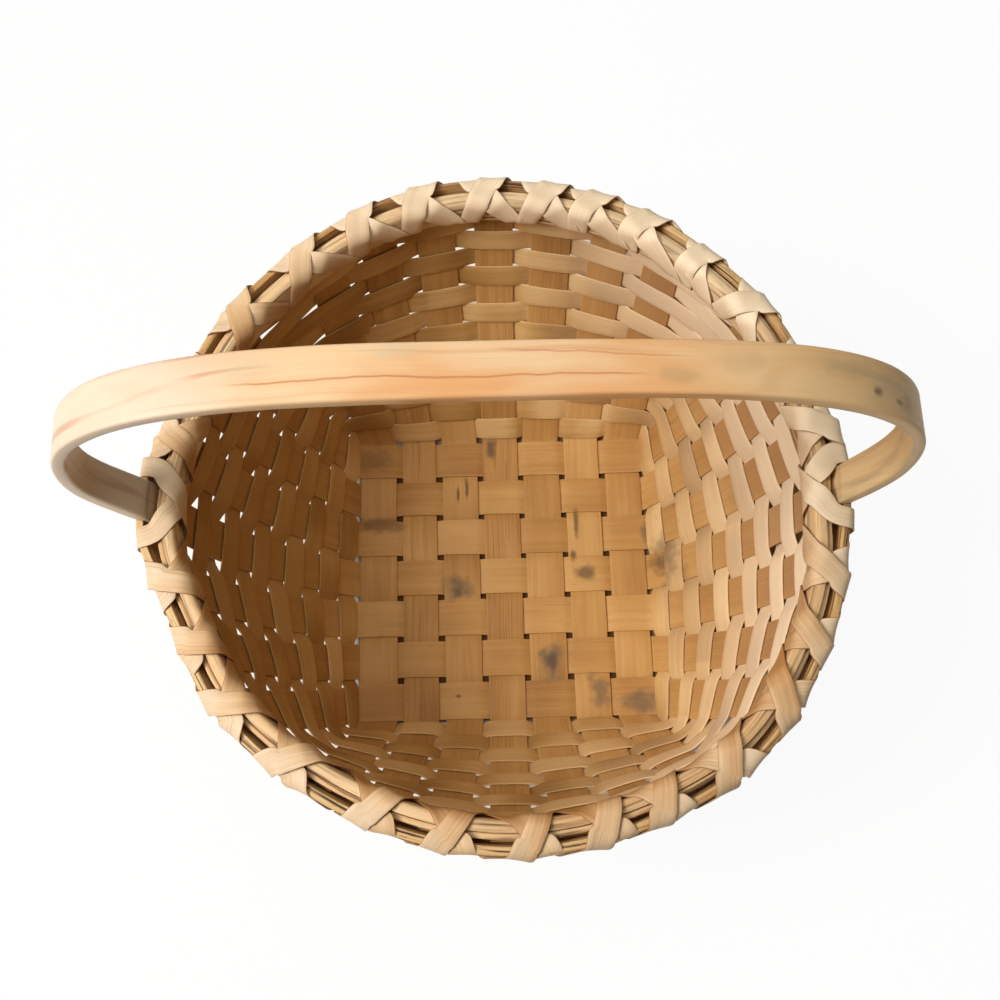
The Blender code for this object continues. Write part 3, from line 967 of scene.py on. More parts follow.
BOTTOM_MARKS = (
    (-5.2, 76.5, 3.6, 7.5, GREY_KNOT, 0.75), (-26.5, -6.0, 9.0, 7.5, BLUE_GREY, 0.85),
    (-25.5, -9.0, 3.6, 4.0, SOOT, 0.6), (46.8, 0.3, 6.5, 4.6, GREY_KNOT, 0.7),
    (25.0, -50.0, 7.0, 10.5, BLUE_GREY, 0.9), (25.5, -50.0, 3.0, 5.0, SOOT, 0.5),
    (-70.0, 31.5, 19.0, 5.0, BROWN_MARK, 0.62), (-24.8, 50.4, 1.1, 6.0, BROWN_MARK, 0.8),
    (-19.7, 51.4, 1.2, 7.5, BROWN_MARK, 0.8), (42.1, 30.0, 1.6, 9.0, BROWN_MARK, 0.7),
    (39.5, 11.0, 2.2, 4.0, BROWN_MARK, 0.8), (51.0, -68.0, 7.0, 12.0, BLUE_GREY, 0.7),
    (-74.0, 71.0, 14.0, 7.0, BROWN_MARK, 0.35),
)
# The stakes carry a pale painted highlight on their edges, painted light and shade that greys them on the
# right and upper walls, and painted shade on the left wall
STAKE_WOOD = SplintFinish(
    name="stake_splint", pale=tone(216, 170, 106), middle=tone(200, 151, 87), dark=tone(170, 122, 64),
    vein=tone(150, 84, 32), edge=tone(222, 178, 120), fibre=0.55, vein_share=0.6, painted_edge_share=0.15,
    band_scale=2200.0, painted_light=tone(164, 124, 94), painted_light_share=0.6, painted_shade=tone(160, 112, 46), painted_shade_share=0.6,
    stains=(
        *(bottom_stain(*mark) for mark in BOTTOM_MARKS),
        Stain((84.0, 22.0, 3.0), (5.0, 14.0, 9.0), SOOT, 0.75),
        Stain((92.0, 4.0, 8.0), (13.0, 9.0, 12.0), SOOT, 0.7),
        Stain((98.0, -9.0, 12.0), (9.0, 10.0, 14.0), SOOT, 0.75),
        Stain((97.0, 37.0, 10.0), (7.0, 6.0, 12.0), SOOT, 0.6),
        Stain((73.0, -74.0, 3.0), (14.0, 7.0, 8.0), BLUE_GREY, 0.75),
        Stain((-27.0, -67.7, 2.0), (2.4, 1.4, 4.0), GREY_KNOT, 0.7),
    ))
# The weavers carry a pale painted highlight on their edges, painted light that pales them on the right and
# upper walls, and painted shade on the left wall
WEAVER_WOOD = SplintFinish(
    name="weaver_splint", pale=tone(228, 189, 130), middle=tone(206, 162, 98), dark=tone(166, 122, 62),
    vein=tone(150, 98, 52), edge=tone(236, 198, 148), fibre=0.4, vein_share=0.55, painted_edge_share=0.25,
    painted_light=tone(248, 226, 196), painted_light_share=0.85, painted_shade=tone(164, 116, 48), painted_shade_share=0.6,
    stains=(
        Stain((92.0, 6.0, 10.0), (12.0, 16.0, 14.0), SOOT, 0.55),
        Stain((98.0, 30.0, 12.0), (9.0, 10.0, 12.0), SOOT, 0.5),
    ))
RIM_WOOD = SplintFinish(
    name="rim_wood", pale=tone(248, 220, 178), middle=tone(236, 198, 148), dark=tone(206, 156, 102),
    vein=tone(84, 50, 24), edge=tone(236, 204, 156), vein_share=0.85, painted_edge_share=0.0, bump=0.5,
    band_scale=500.0)
OUTER_RIM_WOOD = SplintFinish(
    name="outer_rim_wood", pale=tone(238, 204, 150), middle=tone(216, 172, 114), dark=tone(176, 126, 72),
    vein=tone(64, 36, 14), edge=tone(228, 190, 134), fibre=1.0, vein_share=1.0, painted_edge_share=0.0, bump=0.8)
# The lashing carries a dark painted shadow line at its edges and painted light that pales it towards the back
# and right
LASHING_WOOD = SplintFinish(
    name="lashing_splint", pale=tone(238, 212, 178), middle=tone(224, 186, 140), dark=tone(186, 130, 70),
    vein=tone(156, 96, 42), edge=tone(132, 86, 46), vein_share=0.65, painted_edge_share=0.7, roughness=0.5,
    bump=0.15, band_scale=2000.0, painted_edge_from=0.955, painted_light=tone(255, 236, 204), painted_light_share=0.62,
    painted_light_way=(0.5, 0.75))
HANDLE_WOOD = HandleFinish(
    name="handle_wood", pale=tone(234, 200, 156), peach=tone(224, 166, 108), tan=tone(224, 190, 138),
    bleached=tone(226, 212, 194), line=tone(176, 100, 54), grey=tone(176, 162, 128),
    fibre_shade=(0.80, 0.76, 0.70, 1.0), ragged=120.0, roughness=0.5, specular=0.35, bump=0.2,
    stains=(
        Stain((141.0, -3.0, 256.2), (3.0, 2.4, 4.0), GREY_KNOT, 0.8),
        Stain((151.4, -4.5, 248.4), (2.2, 1.6, 4.0), GREY_KNOT, 0.7),
        Stain((158.0, -4.0, 244.0), (12.0, 5.0, 9.0), BLUE_GREY, 0.45),
        Stain((-100.0, 4.0, 275.0), (13.0, 6.0, 9.0), SCUFF, 0.45),
        Stain((-140.0, 2.0, 256.0), (16.0, 7.0, 14.0), SCUFF, 0.5),
        Stain((-45.0, 8.0, 279.0), (15.0, 4.5, 9.0), SCUFF, 0.45),
        Stain((62.0, -4.0, 278.0), (10.0, 3.5, 9.0), GREY_GREEN, 0.4),
        Stain((88.0, 2.0, 276.0), (14.0, 5.0, 9.0), GREY_GREEN, 0.3),
        Stain((128.0, 4.0, 264.0), (14.0, 5.0, 12.0), GREY_GREEN, 0.35),
    ))


# Sub-assemblies


@dataclass
class Workshop:
    """What all the sub-assemblies share: the basket's shape, its stakes and the finishes made so far."""

    wall: WallShape = field(default_factory=WallShape)
    finishes: dict = field(default_factory=dict)
    stakes: list[Stake] = field(init=False)

    def __post_init__(self) -> None:
        """Lays out the 28 stakes, counter-clockwise from the right side."""
        reach = range(-self.wall.half_count, self.wall.half_count + 1)
        self.stakes = [Stake(self.wall, side, place) for side in Side for place in reach]

    @property
    def rim(self) -> RimShape:
        """The rim's shape."""
        return self.wall.rim

    def stake(self, side: Side, place: int) -> Stake:
        """The stake at a place of a side."""
        return next(stake for stake in self.stakes if stake.side is side and stake.place == place)

    def stakes_and_next(self) -> list[tuple[Stake, Stake]]:
        """Each stake with the one after it."""
        return list(zip(self.stakes, self.stakes[1:] + self.stakes[:1]))

    def dress(self, piece: Piece, finish: Wood, node: str, slot: str) -> None:
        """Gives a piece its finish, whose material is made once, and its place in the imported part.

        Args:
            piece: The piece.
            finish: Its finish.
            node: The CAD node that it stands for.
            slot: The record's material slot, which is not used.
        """
        if finish.name not in self.finishes:
            self.finishes[finish.name] = finish.material()
        piece.data.materials.clear()
        piece.data.materials.append(self.finishes[finish.name])
        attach(piece, "root")
        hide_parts(node)
        log.info("%s: %d faces for %s", piece.name, len(piece.data.polygons), node)


@dataclass
class Stakes:
    """The 14 strips that cross the bottom and climb the walls."""

    shop: Workshop
    step: float = 2.0
    ease: float = 0.75
    top: float = -1.5
    flat_past: float = 0.4
    uneven: float = 0.2
    patchy: float = 0.45
    # Each strip's extra width, darkness and strength of grain: those that run front to back, from the left,
    # then those that run across, from the back
    looks: tuple = (
        ((0.4, 0.1, 0.25), (-1.0, 0.2, 1.0), (-0.2, 0.15, 0.2), (-0.3, 0.1, 0.95), (0.3, 0.45, 0.5),
         (-0.6, -0.45, 0.45), (-0.2, 0.0, 0.3)),
        ((0.3, 0.15, 0.45), (-0.2, 0.1, 0.15), (0.2, -0.1, 0.3), (0.0, -0.1, 0.1), (0.2, -0.05, 0.3),
         (-0.3, 0.5, 0.25), (0.3, 0.45, 0.2)),
    )

    def bottom(self, runs_along_x: bool, strip: int) -> list[Array]:
        """Points of a strip across the bottom, over or under each strip that it crosses.

        Args:
            runs_along_x: Whether it runs from left to right.
            strip: The strip, counted from 1.

        Returns:
            Two points for each crossing.
        """
        wall = self.shop.wall
        half = wall.half_count
        offset = (half + 1 - strip) * wall.pitch * (1 if runs_along_x else -1)
        points = []
        for crossed in range(-half, half + 1):
            other = crossed + half + 1 if runs_along_x else half + 1 - crossed
            deep_on_top = (strip + other) % 2 == 1
            level = wall.levels[deep_on_top != runs_along_x]
            for edge in (-1, 1):
                place = crossed * wall.pitch + edge * (wall.strip_width / 2 + self.flat_past)
                points.append(np.array([place, offset, level] if runs_along_x else [offset, place, level]))
        return points

    def route(self, runs_along_x: bool, strip: int) -> Route:
        """The whole way of a strip, from the rim down, across and up to the rim.

        Args:
            runs_along_x: Whether it runs from left to right.
            strip: The strip, counted from 1.

        Returns:
            Its route.
        """
        shop, wall = self.shop, self.shop.wall
        sides = (Side.LEFT, Side.RIGHT) if runs_along_x else (Side.FRONT, Side.BACK)
        place = wall.half_count + 1 - strip
        start, end = shop.stake(sides[0], -place), shop.stake(sides[1], place)
        base = self.bottom(runs_along_x, strip)
        points = [shop.rim.points(start.angle, 0.0, self.top), *start.points[::-1], *base,
                  *end.points, shop.rim.points(end.angle, 0.0, self.top)]
        across = [-start.across_rim, *(-start.across[::-1]), *[sides[1].along] * len(base),
                  *end.across, end.across_rim]
        route = Route(np.array(points), np.array(across), np.full(len(points), wall.strip_width),
                      np.full(len(points), wall.strip_thick)).stepped(self.step).eased(self.ease)
        seed = 100 * runs_along_x + strip
        count = len(route.points)
        wider, darker, route.streaks = self.looks[runs_along_x][strip - 1]
        route.width = route.width + wider + self.uneven * wander(count, 12.0, seed)
        route.tone = darker + self.patchy * wander(count, 7.0, seed + 900)
        route.seed = 3.7 * seed
        return route

    def build(self) -> None:
        """Models the strips and dresses them."""
        wall = self.shop.wall
        section = Section(wall.strip_width, wall.strip_thick, top_round=0.28, foot_round=0.2)
        for runs_along_x in (True, False):
            for strip in range(1, wall.strips + 1):
                node = f"stake_{'across' if runs_along_x else 'deep'}_{strip}"
                piece = section.bent(f"{node}_splint", self.route(runs_along_x, strip))
                self.shop.dress(piece, STAKE_WOOD, node, "stake_splint")


@dataclass
class Weavers:
    """The 12 rings of the wall."""

    shop: Workshop
    step: float = 2.0
    ease: float = 1.0
    past: float = 0.6
    bow: float = 0.2
    middle_wide: float = 1.3
    edge_wide: float = 1.15
    corner_wide: float = 1.6
    tail_thick: float = 3.0
    uneven: float = 0.45
    lengths: int = 4
    bar_width: float = 11.0

    def route(self, row: int) -> Route:
        """The ring's way in and out past all the stakes, and over the handle's tails.

        Args:
            row: The row, counted from 1.

        Returns:
            Its closed route, in a few lengths of splint that differ in tone.
        """
        wall = self.shop.wall
        points, across, width = [], [], []
        for stake, after in self.shop.stakes_and_next():
            way = -1 if stake.weaver_inside(row) else 1
            reach = wall.weaver_offset * way
            if stake.side.has_leg and stake.place == 0 and row >= wall.rows - wall.tail_rows and way > 0:
                reach += wall.tail(row, self.tail_thick) + wall.weaver_clear
            for edge in (-1, 0, 1):
                low, high, normal = stake.facet(row, edge, self.past)
                swell = edge == 0
                points.append((low + high) / 2 + normal * (reach + self.bow * swell * way))
                across.append(unit(low - high))
                extra = self.middle_wide if swell else self.edge_wide
                width.append(np.linalg.norm(high - low) - wall.row_gap + extra)
            if stake.place == wall.half_count:
                next_low, next_high, _ = after.facet(row, -1, self.past)
                points.append((low + high + next_low + next_high) / 4)
                across.append(unit(low - high + next_low - next_high))
                width.append(np.linalg.norm(high - low) - wall.row_gap + self.corner_wide)
        route = Route(np.array(points), np.array(across), np.array(width),
                      np.full(len(points), wall.weaver_thick), True).stepped(self.step).eased(self.ease)
        count = len(route.points)
        route.width = route.width + self.uneven * wander(count, 6.0, row)
        rng = np.random.default_rng(row + 50)
        places = (np.arange(self.lengths) + rng.uniform(0.0, 0.7, self.lengths)) / self.lengths
        length_of = np.searchsorted(np.sort(places * count).astype(int), np.arange(count)) % self.lengths
        route.tone = rng.normal(0.0, 0.6, self.lengths)[length_of] + 0.8 * wander(count, 5.0, row + 70)
        route.seed = 5.3 * row
        return route

    def build(self) -> None:
        """Models the rings and dresses them."""
        wall = self.shop.wall
        section = Section(self.bar_width, wall.weaver_thick, top_round=0.25, foot_round=0.2)
        for row in range(1, wall.rows + 1):
            piece = section.bent(f"weaver_{row:02d}_splint", self.route(row))
            self.shop.dress(piece, WEAVER_WOOD, f"weaver_{row:02d}", "weaver_splint")


@dataclass
class Hoops:
    """The rim's bent wood: the half-round inner hoop, the thin strip behind it and the outer hoop."""

    shop: Workshop
    stations: int = 480
    strip_top: float = 6.0
    fuller: float = 0.3
    outer_foot: float = 1.1

    def route(self, middle: float, low: float, high: float, thick: float, seed: int) -> Route:
        """A hoop's way round the rim.

        Args:
            middle: Distance of its middle outward from the stakes' middle.
            low: Height of its lower edge from the rim's middle.
            high: Height of its upper edge.
            thick: Its thickness.
            seed: Chooses its unevenness.

        Returns:
            A closed route whose top face looks towards the inside of the basket.
        """
        def drift(amount: float, reach: float, shift: int) -> Array:
            """A slow drift round the hoop."""
            return amount * wander(self.stations, reach, seed + shift)

        rim = self.shop.rim
        angles = np.arange(self.stations) * 2 * math.pi / self.stations
        out = rim.squeezed(angles, middle)
        points = rim.points(angles, out, (low + high) / 2 + drift(0.12, 9.0, 0))
        up = rim.points(angles, out, 1.0) - rim.points(angles, out, 0.0)
        return Route(points, -unit(up), high - low + drift(0.2, 14.0, 1), thick + drift(0.1, 11.0, 2),
                     True, drift(0.5, 40.0, 3), 1.0, 2.3 * seed)

    def build(self) -> None:
        """Models the hoops and dresses them."""
        rim = self.shop.rim
        half, top = rim.half_height, rim.half_height + self.fuller
        strip, inner, outer = rim.strip_thick, rim.inner_thick, rim.outer_thick
        made = (
            ("rim_strip_inner", Section(half + self.strip_top, strip, 0.5, 0.5),
             self.route(rim.strip_out - strip / 2, -half, self.strip_top, strip, 11), RIM_WOOD),
            ("rim_hoop_inner", Section(2 * half, inner, 2.6, 0.5, segments=5),
             self.route(rim.inner_out - inner / 2, -half, top, inner, 21), RIM_WOOD),
            ("rim_hoop_outer", Section(2 * half, outer, 0.5, 1.6, segments=4),
             self.route(rim.outer_in + (outer + self.fuller) / 2, -half, top, outer + self.fuller, 31),
             OUTER_RIM_WOOD),
        )
        made[-1][2].wedge = self.outer_foot
        for node, section, route, finish in made:
            self.shop.dress(section.bent(f"{node}_wood", route), finish, node, "rim_wood")


class Winding(Enum):
    """The two lashing splints, by their CAD nodes: the one under, and the one over, wound the other way."""

    UNDER = "lashing_first"
    OVER = "lashing_second"


@dataclass
class Lashing:
    """The two splints wound round the rim in crossing turns, through a hole between each two stakes."""

    shop: Workshop
    thick: float = 0.55
    clear: float = 0.6
    cross_gap: float = 1.2
    cross_at: float = 0.55
    cross_spread: float = 0.3
    hole_share: float = 0.1
    hole_half: float = 3.6
    face_half: float = 4.8
    flare_half: float = 6.3
    over_half: float = 5.3
    under_half: float = 5.1
    leg_half: float = 4.7
    corner_step: float = math.radians(7.4)
    drifts: tuple = ((-20.0, -4.6, 22.0), (56.0, 6.6, 18.0), (110.0, 3.2, 22.0), (198.0, 2.8, 14.0),
                     (232.0, -2.4, 9.0), (277.0, 3.4, 18.0))
    wider: tuple = ((15.0, 0.08, 55.0), (105.0, 0.1, 55.0))
    inner_dark: float = 2.5
    streaks: float = 0.5
    step: float = 1.2
    ease: float = 1.1
    turn_ease: float = 3.0
    face_ease: float = 2.0
    gap_ease: float = 2.5

    def corners(self, over: bool) -> list[tuple]:
        """The corners that the splint goes round, from a hole outward, over the rim and back to a hole.

        Args:
            over: Whether it is the splint that lies over the other.

        Returns:
            Place, share of the step to the next hole, that share at a leg, share of the drift, half width.
        """
        rim = self.shop.rim
        high = rim.half_height
        outer, outer_top = rim.outer_in + rim.outer_thick, rim.outer_in + rim.outer_thick - rim.outer_round
        inner, inner_top = rim.inner_out - rim.inner_thick, rim.inner_out - rim.inner_thick + rim.inner_round
        top = self.over_half if over else self.under_half
        rows = (
            ((0.0, -high), 0.0, 0.0, 0.0, 0.0, self.hole_half),
            ((outer_top, -high), 0.04, 0.03, 0.0, 0.15, self.hole_half),
            ((outer, -high + rim.outer_round), 0.12, 0.10, 0.0, 0.3, self.face_half),
            ((outer, high - rim.outer_round), 0.335, 0.265, 0.0, 0.95, self.flare_half),
            ((outer_top, high), 0.37, 0.30, 0.0, 1.0, self.flare_half),
            ((rim.strip_out, high), 0.48, 0.42, 0.0, 1.0, top),
            ((inner_top, high), 0.61, 0.56, 0.27, 1.0, top),
            ((inner, high - rim.inner_round), 0.69, 0.66, 0.38, 0.9, top),
            ((inner, -high + rim.inner_round), 0.90, 0.93, 0.8, 0.3, self.face_half),
            ((inner_top, -high), 0.95, 0.97, 0.94, 0.15, self.hole_half),
        )
        return [(place, over_share if over else under_share, leg, drifted, half)
                for place, over_share, under_share, leg, drifted, half in rows]

    def turns(self) -> list[tuple[float, float]]:
        """The holes, one between each two stakes and a second in the widest gap, at the back right corner.

        Returns:
            The angles of the holes that each turn starts and ends at.
        """
        holes = []
        for stake, after in self.shop.stakes_and_next():
            middle = stake.angle + math.remainder(after.angle - stake.angle, 2 * math.pi) / 2
            if stake.side is Side.RIGHT and stake.place == self.shop.wall.half_count:
                holes += [middle - self.corner_step / 2, middle + self.corner_step / 2]
            else:
                holes.append(middle)
        return list(zip([holes[-1] - 2 * math.pi] + holes[:-1], holes))

    def table(self, over: bool) -> Array:
        """All the corners that the splint goes round, through every turn and back to its first hole.

        Args:
            over: Whether it is the splint that lies over the other, which is wound forward.

        Returns:
            A row for each corner: out, height, the way off the wood in both, angle, share, half width.
        """
        corners = self.corners(over)
        places = np.array([corner[0] for corner in corners])
        before = unit(places - np.roll(places, 1, axis=0))
        after = np.roll(before, -1, axis=0)
        normal_a, normal_b = (np.stack([-way[:, 1], way[:, 0]], axis=1) for way in (before, after))
        outward = -(normal_a + normal_b) / (1 + (normal_a * normal_b).sum(axis=1))[:, None]
        rows = []
        for start, end in self.turns()[:: 1 if over else -1]:
            middle, reach = (start + end) / 2, (end - start) / 2
            at_leg = any(side.has_leg and abs(middle - side.middle) < reach for side in Side)
            drift = 0.0 if at_leg else math.radians(float(humps(middle, self.drifts)))
            for off, (place, share, leg_share, drifted, half) in zip(outward, corners):
                if at_leg:
                    share = leg_share
                    half = min(half, self.leg_half) if leg_share == 0.0 else half
                angle = start + share * (end - start) if over else end - share * (end - start)
                rows.append((*place, *off, angle + drifted * drift, share, half))
        table = np.array(rows + rows[:1])
        table[:, 4] = np.unwrap(table[:, 4])
        return table

    def route(self, winding: Winding) -> Route:
        """The splint's way: its turns round the rim, from each hole to the next.

        Args:
            winding: Which of the two splints it is.

        Returns:
            Its closed route.
        """
        over = winding is Winding.OVER
        rim = self.shop.rim
        table = self.table(over)
        way = way_along(table[:, [0, 1, 4]] * (1.0, 1.0, rim.radius))
        count = int(round(way[-1] / self.step))
        at = np.linspace(0.0, way[-1], count + 1)[:-1]
        *rows, angle, share, half = (np.interp(at, way, column) for column in table.T)
        out, height, off_out, off_up = (eased(row, self.ease) for row in rows)
        even = at / way[-1] * (2 * math.pi if over else -2 * math.pi)
        angle = eased(angle - even, self.turn_ease) + even

        gap = np.full(count, self.clear + self.thick / 2)
        if over:
            crossing = np.exp(-(((share - self.cross_at) / self.cross_spread) ** 4))
            at_hole = np.clip(1 - np.minimum(share, 1 - share) / self.hole_share, 0.0, 1.0)
            gap = gap + self.cross_gap * eased(np.maximum(crossing, at_hole), self.gap_ease)

        def off_wood(gap: Array) -> Array:
            """The points at a distance from the wood."""
            return rim.points(angle, rim.squeezed(angle, out + off_out * gap), height + off_up * gap)

        points = off_wood(gap)
        surface = unit(off_wood(gap + 1) - points)
        across = unit(eased(unit(np.cross(surface, ways_round(points))), self.face_ease))
        width = 2 * eased(half, self.face_ease) * (1 + humps(angle, self.wider))
        width = width + 0.3 * wander(count, 10.0, 41 + over)
        inward = eased(np.clip((share - 0.35) / 0.45, 0.0, 1.0), self.face_ease)
        tones = 0.25 * wander(count, 18.0, 43 + over) + 0.3 * wander(count, 90.0, 45 + over)
        tones = tones + self.inner_dark * (inward - 0.4)
        return Route(points, across, width, np.full(count, self.thick), True, tones, self.streaks,
                     40.0 + 7.0 * over)

    def build(self) -> None:
        """Models both splints and dresses them."""
        section = Section(2 * self.over_half, self.thick, top_round=0.16, foot_round=0.16, segments=1)
        for winding in Winding:
            piece = section.bent(f"{winding.value}_splint", self.route(winding))
            self.shop.dress(piece, LASHING_WOOD, winding.value, "lashing_splint")


@dataclass
class Handle:
    """The bent handle: a flat bar that arches over, with legs let in between the hoops."""

    shop: Workshop
    thick: float = 6.0
    top_z: float = 279.0
    spring_z: float = 190.0
    half_span: float = 182.3
    shift_x: float = -8.4
    flatness: float = 3.25
    drop: float = 2.5
    shoulder: float = 0.8
    splay: float = 0.28
    leg_steps: int = 8
    arch_steps: int = 60
    leg_in: float = 0.85
    slot_thick: float = 2.8
    sweep: float = 3.0
    step: float = 1.6
    soft_above: float = 14.0
    widths: tuple = ((75.0, 17.0), (134.0, 18.4), (149.0, 18.4), (190.0, 19.0), (245.0, 23.0))

    def lean_back(self, height: float) -> float:
        """How far back the handle stands at a height."""
        rim = self.shop.rim
        seat = rim.points(Side.RIGHT.middle, self.leg_in, rim.half_height + self.shoulder)
        return seat[1] * (1 - max(0.0, (height - seat[2]) / (self.top_z - seat[2]))) ** self.sweep

    def arch(self, turn: float) -> Array:
        """The arch above the spring line.

        Args:
            turn: The angle round the arch, from the right.

        Returns:
            A point of the outer face.
        """
        c, s = math.cos(turn), math.sin(turn)
        height = self.spring_z + abs(s) ** (2 / self.drop) * (self.top_z - self.spring_z)
        reach = math.copysign(abs(c) ** (2 / self.flatness), c) * self.half_span
        return np.array([self.shift_x + reach, self.lean_back(height), height])

    def tail(self, stake: Stake) -> list[tuple]:
        """A leg's pared tail, on the outside of its stake.

        Args:
            stake: The stake.

        Returns:
            Rows of inner-face point, way up, way across and thickness.
        """
        wall = self.shop.wall
        rows = []
        for row in range(wall.rows - wall.tail_rows, wall.rows + 1):
            low, high, _ = stake.facet(row, 0, 0.0)
            point = high if rows else (low + high) / 2
            way = unit(high - low)
            if row < wall.rows:
                way = unit(way + unit(stake.points[row + 1] - high))
            side = stake.across[row]
            rows.append((point + unit(np.cross(side, way)) * self.leg_in, way, side,
                         wall.tail(row, self.slot_thick)))
        return rows

    def leg(self, side: Side) -> list[tuple]:
        """One leg from its tail up to the spring line.

        Args:
            side: The side that it comes down.

        Returns:
            Rows of inner-face point, way up, way across and thickness.
        """
        rim, stake = self.shop.rim, self.shop.stake(side, 0)
        rows = self.tail(stake)
        way = side.facing * math.sin(rim.lean) + np.array([0.0, 0.0, math.cos(rim.lean)])
        high = rim.half_height
        for height, thick in ((-high, self.slot_thick), (high + self.shoulder / 2, self.slot_thick),
                              (high + self.shoulder, self.thick)):
            rows.append((rim.points(stake.angle, self.leg_in, height), way, stake.across_rim, thick))
        start = rows[-1][0]
        end = self.arch(0.0 if side is Side.RIGHT else math.pi) - side.facing * self.thick
        reach = np.linalg.norm(end - start) / 3
        one, two = start + unit(way + self.splay * side.facing) * reach, end - np.array([0.0, 0.0, reach])
        for step in range(1, self.leg_steps + 1):
            t = step / self.leg_steps
            u = 1 - t
            point = u ** 3 * start + 3 * t * u * u * one + 3 * t * t * u * two + t ** 3 * end
            rise = u * u * (one - start) + 2 * t * u * (two - one) + t * t * (end - two)
            rows.append((point, unit(rise), unit(u * stake.across_rim + t * side.along), self.thick))
        return rows

    def route(self) -> Route:
        """The whole handle, from the right tail over to the left one.

        Returns:
            Its route, with the outer face on top.
        """
        across = Side.RIGHT.along
        rows = self.leg(Side.RIGHT)
        for turn in math.pi * np.arange(1, self.arch_steps) / self.arch_steps:
            way = unit(self.arch(turn + 1e-3) - self.arch(turn - 1e-3))
            rows.append((self.arch(turn) - np.cross(across, way) * self.thick, way, across, self.thick))
        rows += [(point, -way, -side, thick) for point, way, side, thick in self.leg(Side.LEFT)[::-1]]
        points = np.array([point + np.cross(side, way) * thick / 2 for point, way, side, thick in rows])
        sides, thicks = (np.array([row[k] for row in rows]) for k in (2, 3))
        width = np.interp(points[:, 2], *zip(*self.widths))
        route = Route(points, -sides, width, thicks).stepped(self.step)
        soft = route.eased(4.0)
        count = len(route.points)
        raised = route.points[:, 2] > self.shop.rim.mid_z + self.soft_above
        share = eased(raised.astype(float), 2.0, False)
        kept, new = 1 - share[:, None], share[:, None]
        route.points = route.points * kept + soft.points * new
        route.across = unit(route.across * kept + soft.across * new)
        route.width = route.width + 0.3 * wander(count, 12.0, 61) * share
        route.thick = route.thick + 0.18 * wander(count, 12.0, 62) * share
        route.tone = 0.3 * wander(count, 40.0, 63)
        return route

    def build(self) -> None:
        """Models the handle and dresses it."""
        section = Section(23.0, self.thick, top_round=1.3, foot_round=1.3, segments=3, cuts=5)
        self.shop.dress(section.bent("handle_wood", self.route()), HANDLE_WOOD, "handle", "handle_wood")


# The studio


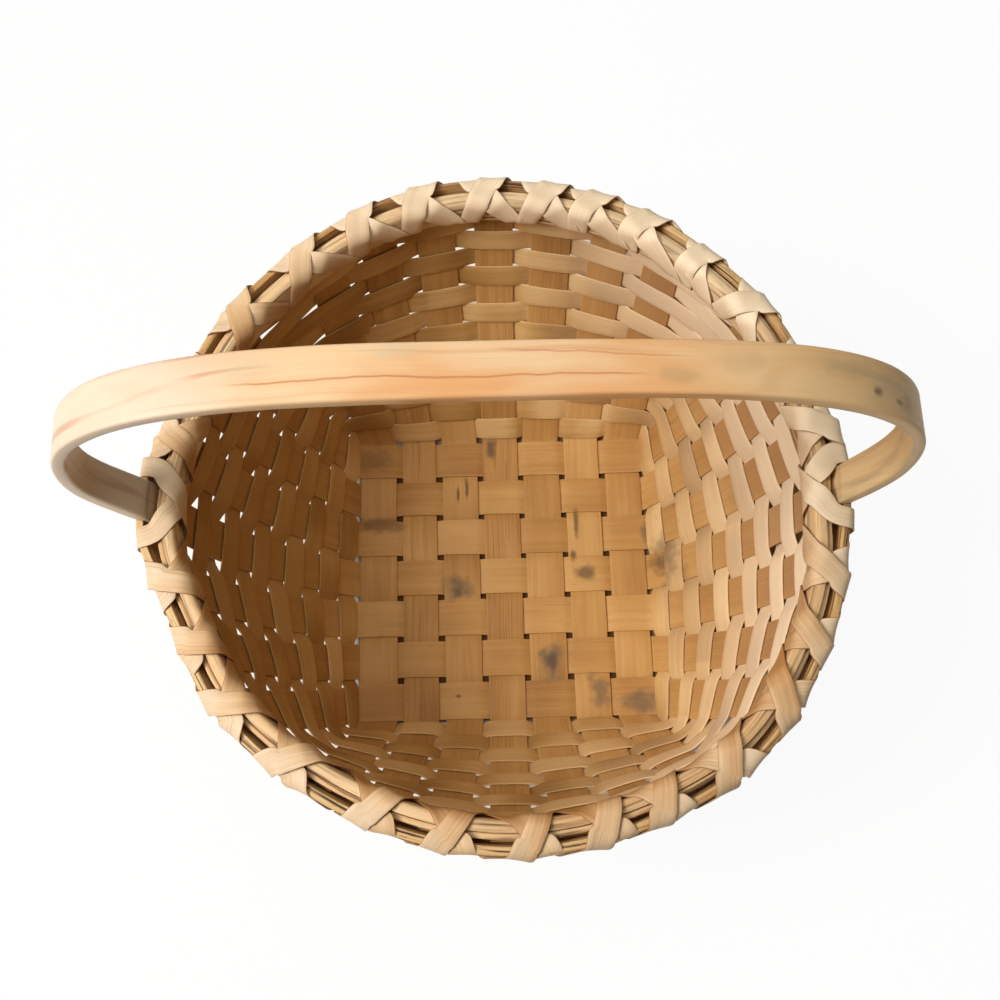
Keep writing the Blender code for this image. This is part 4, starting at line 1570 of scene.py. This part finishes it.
@dataclass
class Studio:
    """The floor, the lamps and the camera. Places are in metres, and the camera's in millimetres."""

    eye: Triple = (-15.39753, -208.55592, 728.08152)
    turns: Triple = (-19.2533, 1.08267, 1.38223)
    lens: float = 48.276
    world_strength: float = 0.06
    floor_glow: float = 0.94
    # Ovals on the floor, by the middle and the reach along x and y: what the basket hides from the camera,
    # and a painted shadow, a brown patch to the right and back, that shows through the right wall
    hidden: tuple = ((0.004, 0.195), (0.054, 0.195))
    painted_shadow: tuple = ((0.075, 0.135), (0.045, 0.185))
    paper_white: Colour = tone(244, 243, 240)
    painted_shadow_brown: Colour = tone(158, 124, 88)
    # Painted shade: the dark brown under the bottom, seen through its gaps
    painted_under_shade: Colour = tone(88, 58, 34)
    dim_amber: Colour = (1.0, 0.74, 0.36, 1.0)
    white: Colour = (1.0, 1.0, 1.0, 1.0)
    # Each lamp's name, place, size, power and colour
    lamps: tuple = (("window", (-1.16, -0.3, 1.42), 0.8, 30.0, (1.0, 0.98, 0.96)),
                    ("ceiling", (-0.35, 0.25, 1.85), 1.3, 12.5, (1.0, 0.97, 0.93)))
    lit: Triple = (0.0, 0.0, 0.1)

    @staticmethod
    def seen(graph: Graph) -> Value:
        """Whether a ray comes from the camera, from a shiny surface or through a clear one.

        Args:
            graph: The nodes that ask.

        Returns:
            1 where it does and 0 elsewhere.
        """
        path = graph.node("ShaderNodeLightPath")
        camera, glossy, clear = (Value(graph, path.outputs[f"Is {kind} Ray"])
                                 for kind in ("Camera", "Glossy", "Transmission"))
        return camera.most(glossy).most(clear)

    def build_floor(self) -> None:
        """Lays a pale floor that a camera sees as near white and that keeps the shadow, with a painted shadow
        oval to the right and a dark painted shade square under the bottom.
        """
        bpy.ops.object.select_all(action="DESELECT")
        bpy.ops.mesh.primitive_grid_add(x_subdivisions=8, y_subdivisions=8, size=6.0,
                                        location=(0, 0, -0.0004))
        floor = bpy.context.object
        floor.name = "floor"
        made = bpy.data.materials.new("floor_paper")
        graph = Graph.fresh(made)
        flat = graph.place()[:2]

        def off(oval: tuple) -> Value:
            """How far from an oval's middle a point is, as a share of its reach."""
            x, y = ((axis - middle) / reach for axis, (middle, reach) in zip(flat, oval))
            return (x * x + y * y) ** 0.5

        # Painted shade: a dark square under the bottom, so its gaps look dark
        under = abs(flat[0]).most(abs(flat[1])).ramp(0.084, 0.080)
        glow = self.seen(graph) * off(self.hidden).ramp(0.9, 1.02) * self.floor_glow
        # Painted shadow: a brown oval to the right of the basket, dark through the right wall's gaps
        painted_shadow = graph.mix(off(self.painted_shadow).ramp(1.0, 0.75), self.paper_white, self.painted_shadow_brown)
        paper = graph.node("ShaderNodeBsdfDiffuse", None,
                           {"Color": graph.mix(under, painted_shadow, self.painted_under_shade)})
        light = graph.node("ShaderNodeEmission", None, {"Color": self.white, "Strength": 1.0})
        graph.close("Material", graph.node("ShaderNodeMixShader", None,
                                           {0: glow, 1: paper.outputs[0], 2: light.outputs[0]}))
        floor.data.materials.append(made)

    def build_light(self) -> None:
        """Hangs two large soft lamps, and a sky that is white to the camera and dim to the basket."""
        for name, at, size, power, colour in self.lamps:
            lamp = bpy.data.lights.new(name, "AREA")
            lamp.shape, lamp.size, lamp.energy, lamp.color = "DISK", size, power, colour
            holder = bpy.data.objects.new(name, lamp)
            bpy.context.scene.collection.objects.link(holder)
            turn = (Vector(self.lit) - Vector(at)).to_track_quat("-Z", "Y").to_matrix()
            holder.matrix_world = Matrix.Translation(at) @ turn.to_4x4()
        world = bpy.data.worlds.new("studio")
        bpy.context.scene.world = world
        graph = Graph.fresh(world)
        dim, white = (graph.node("ShaderNodeBackground", None, {"Color": colour, "Strength": strength})
                      for colour, strength in ((self.dim_amber, self.world_strength), (self.white, 1.0)))
        graph.close("World", graph.node("ShaderNodeMixShader", None, {
            0: self.seen(graph), 1: dim.outputs[0], 2: white.outputs[0]}))

    def build_camera(self) -> None:
        """Sets up the camera that the photograph was taken with, as it was fitted to the basket."""
        camera = bpy.data.cameras.new("photo_view")
        camera.lens, camera.sensor_width, camera.clip_start = self.lens, 36.0, 0.01
        holder = bpy.data.objects.new("photo_view", camera)
        bpy.context.scene.collection.objects.link(holder)
        x, y, z = (Matrix.Rotation(math.radians(turn), 3, axis) for turn, axis in zip(self.turns, "XYZ"))
        turned = (z @ y @ x).transposed()
        holder.matrix_world = Matrix.Translation(Vector(self.eye) * MM) @ turned.to_4x4()
        bpy.context.scene.camera = holder

    def build(self) -> None:
        """Builds the floor, the light and the camera."""
        self.build_floor()
        self.build_light()
        self.build_camera()
        bpy.context.scene.view_settings.view_transform = "Standard"


def main() -> None:
    """Builds the basket piece by piece."""
    logging.basicConfig(level=logging.INFO, format="%(message)s")
    shop = Workshop()
    for part in (Stakes(shop), Weavers(shop), Hoops(shop), Lashing(shop), Handle(shop)):
        part.build()
    Studio().build()


if __name__ == "__main__":
    main()
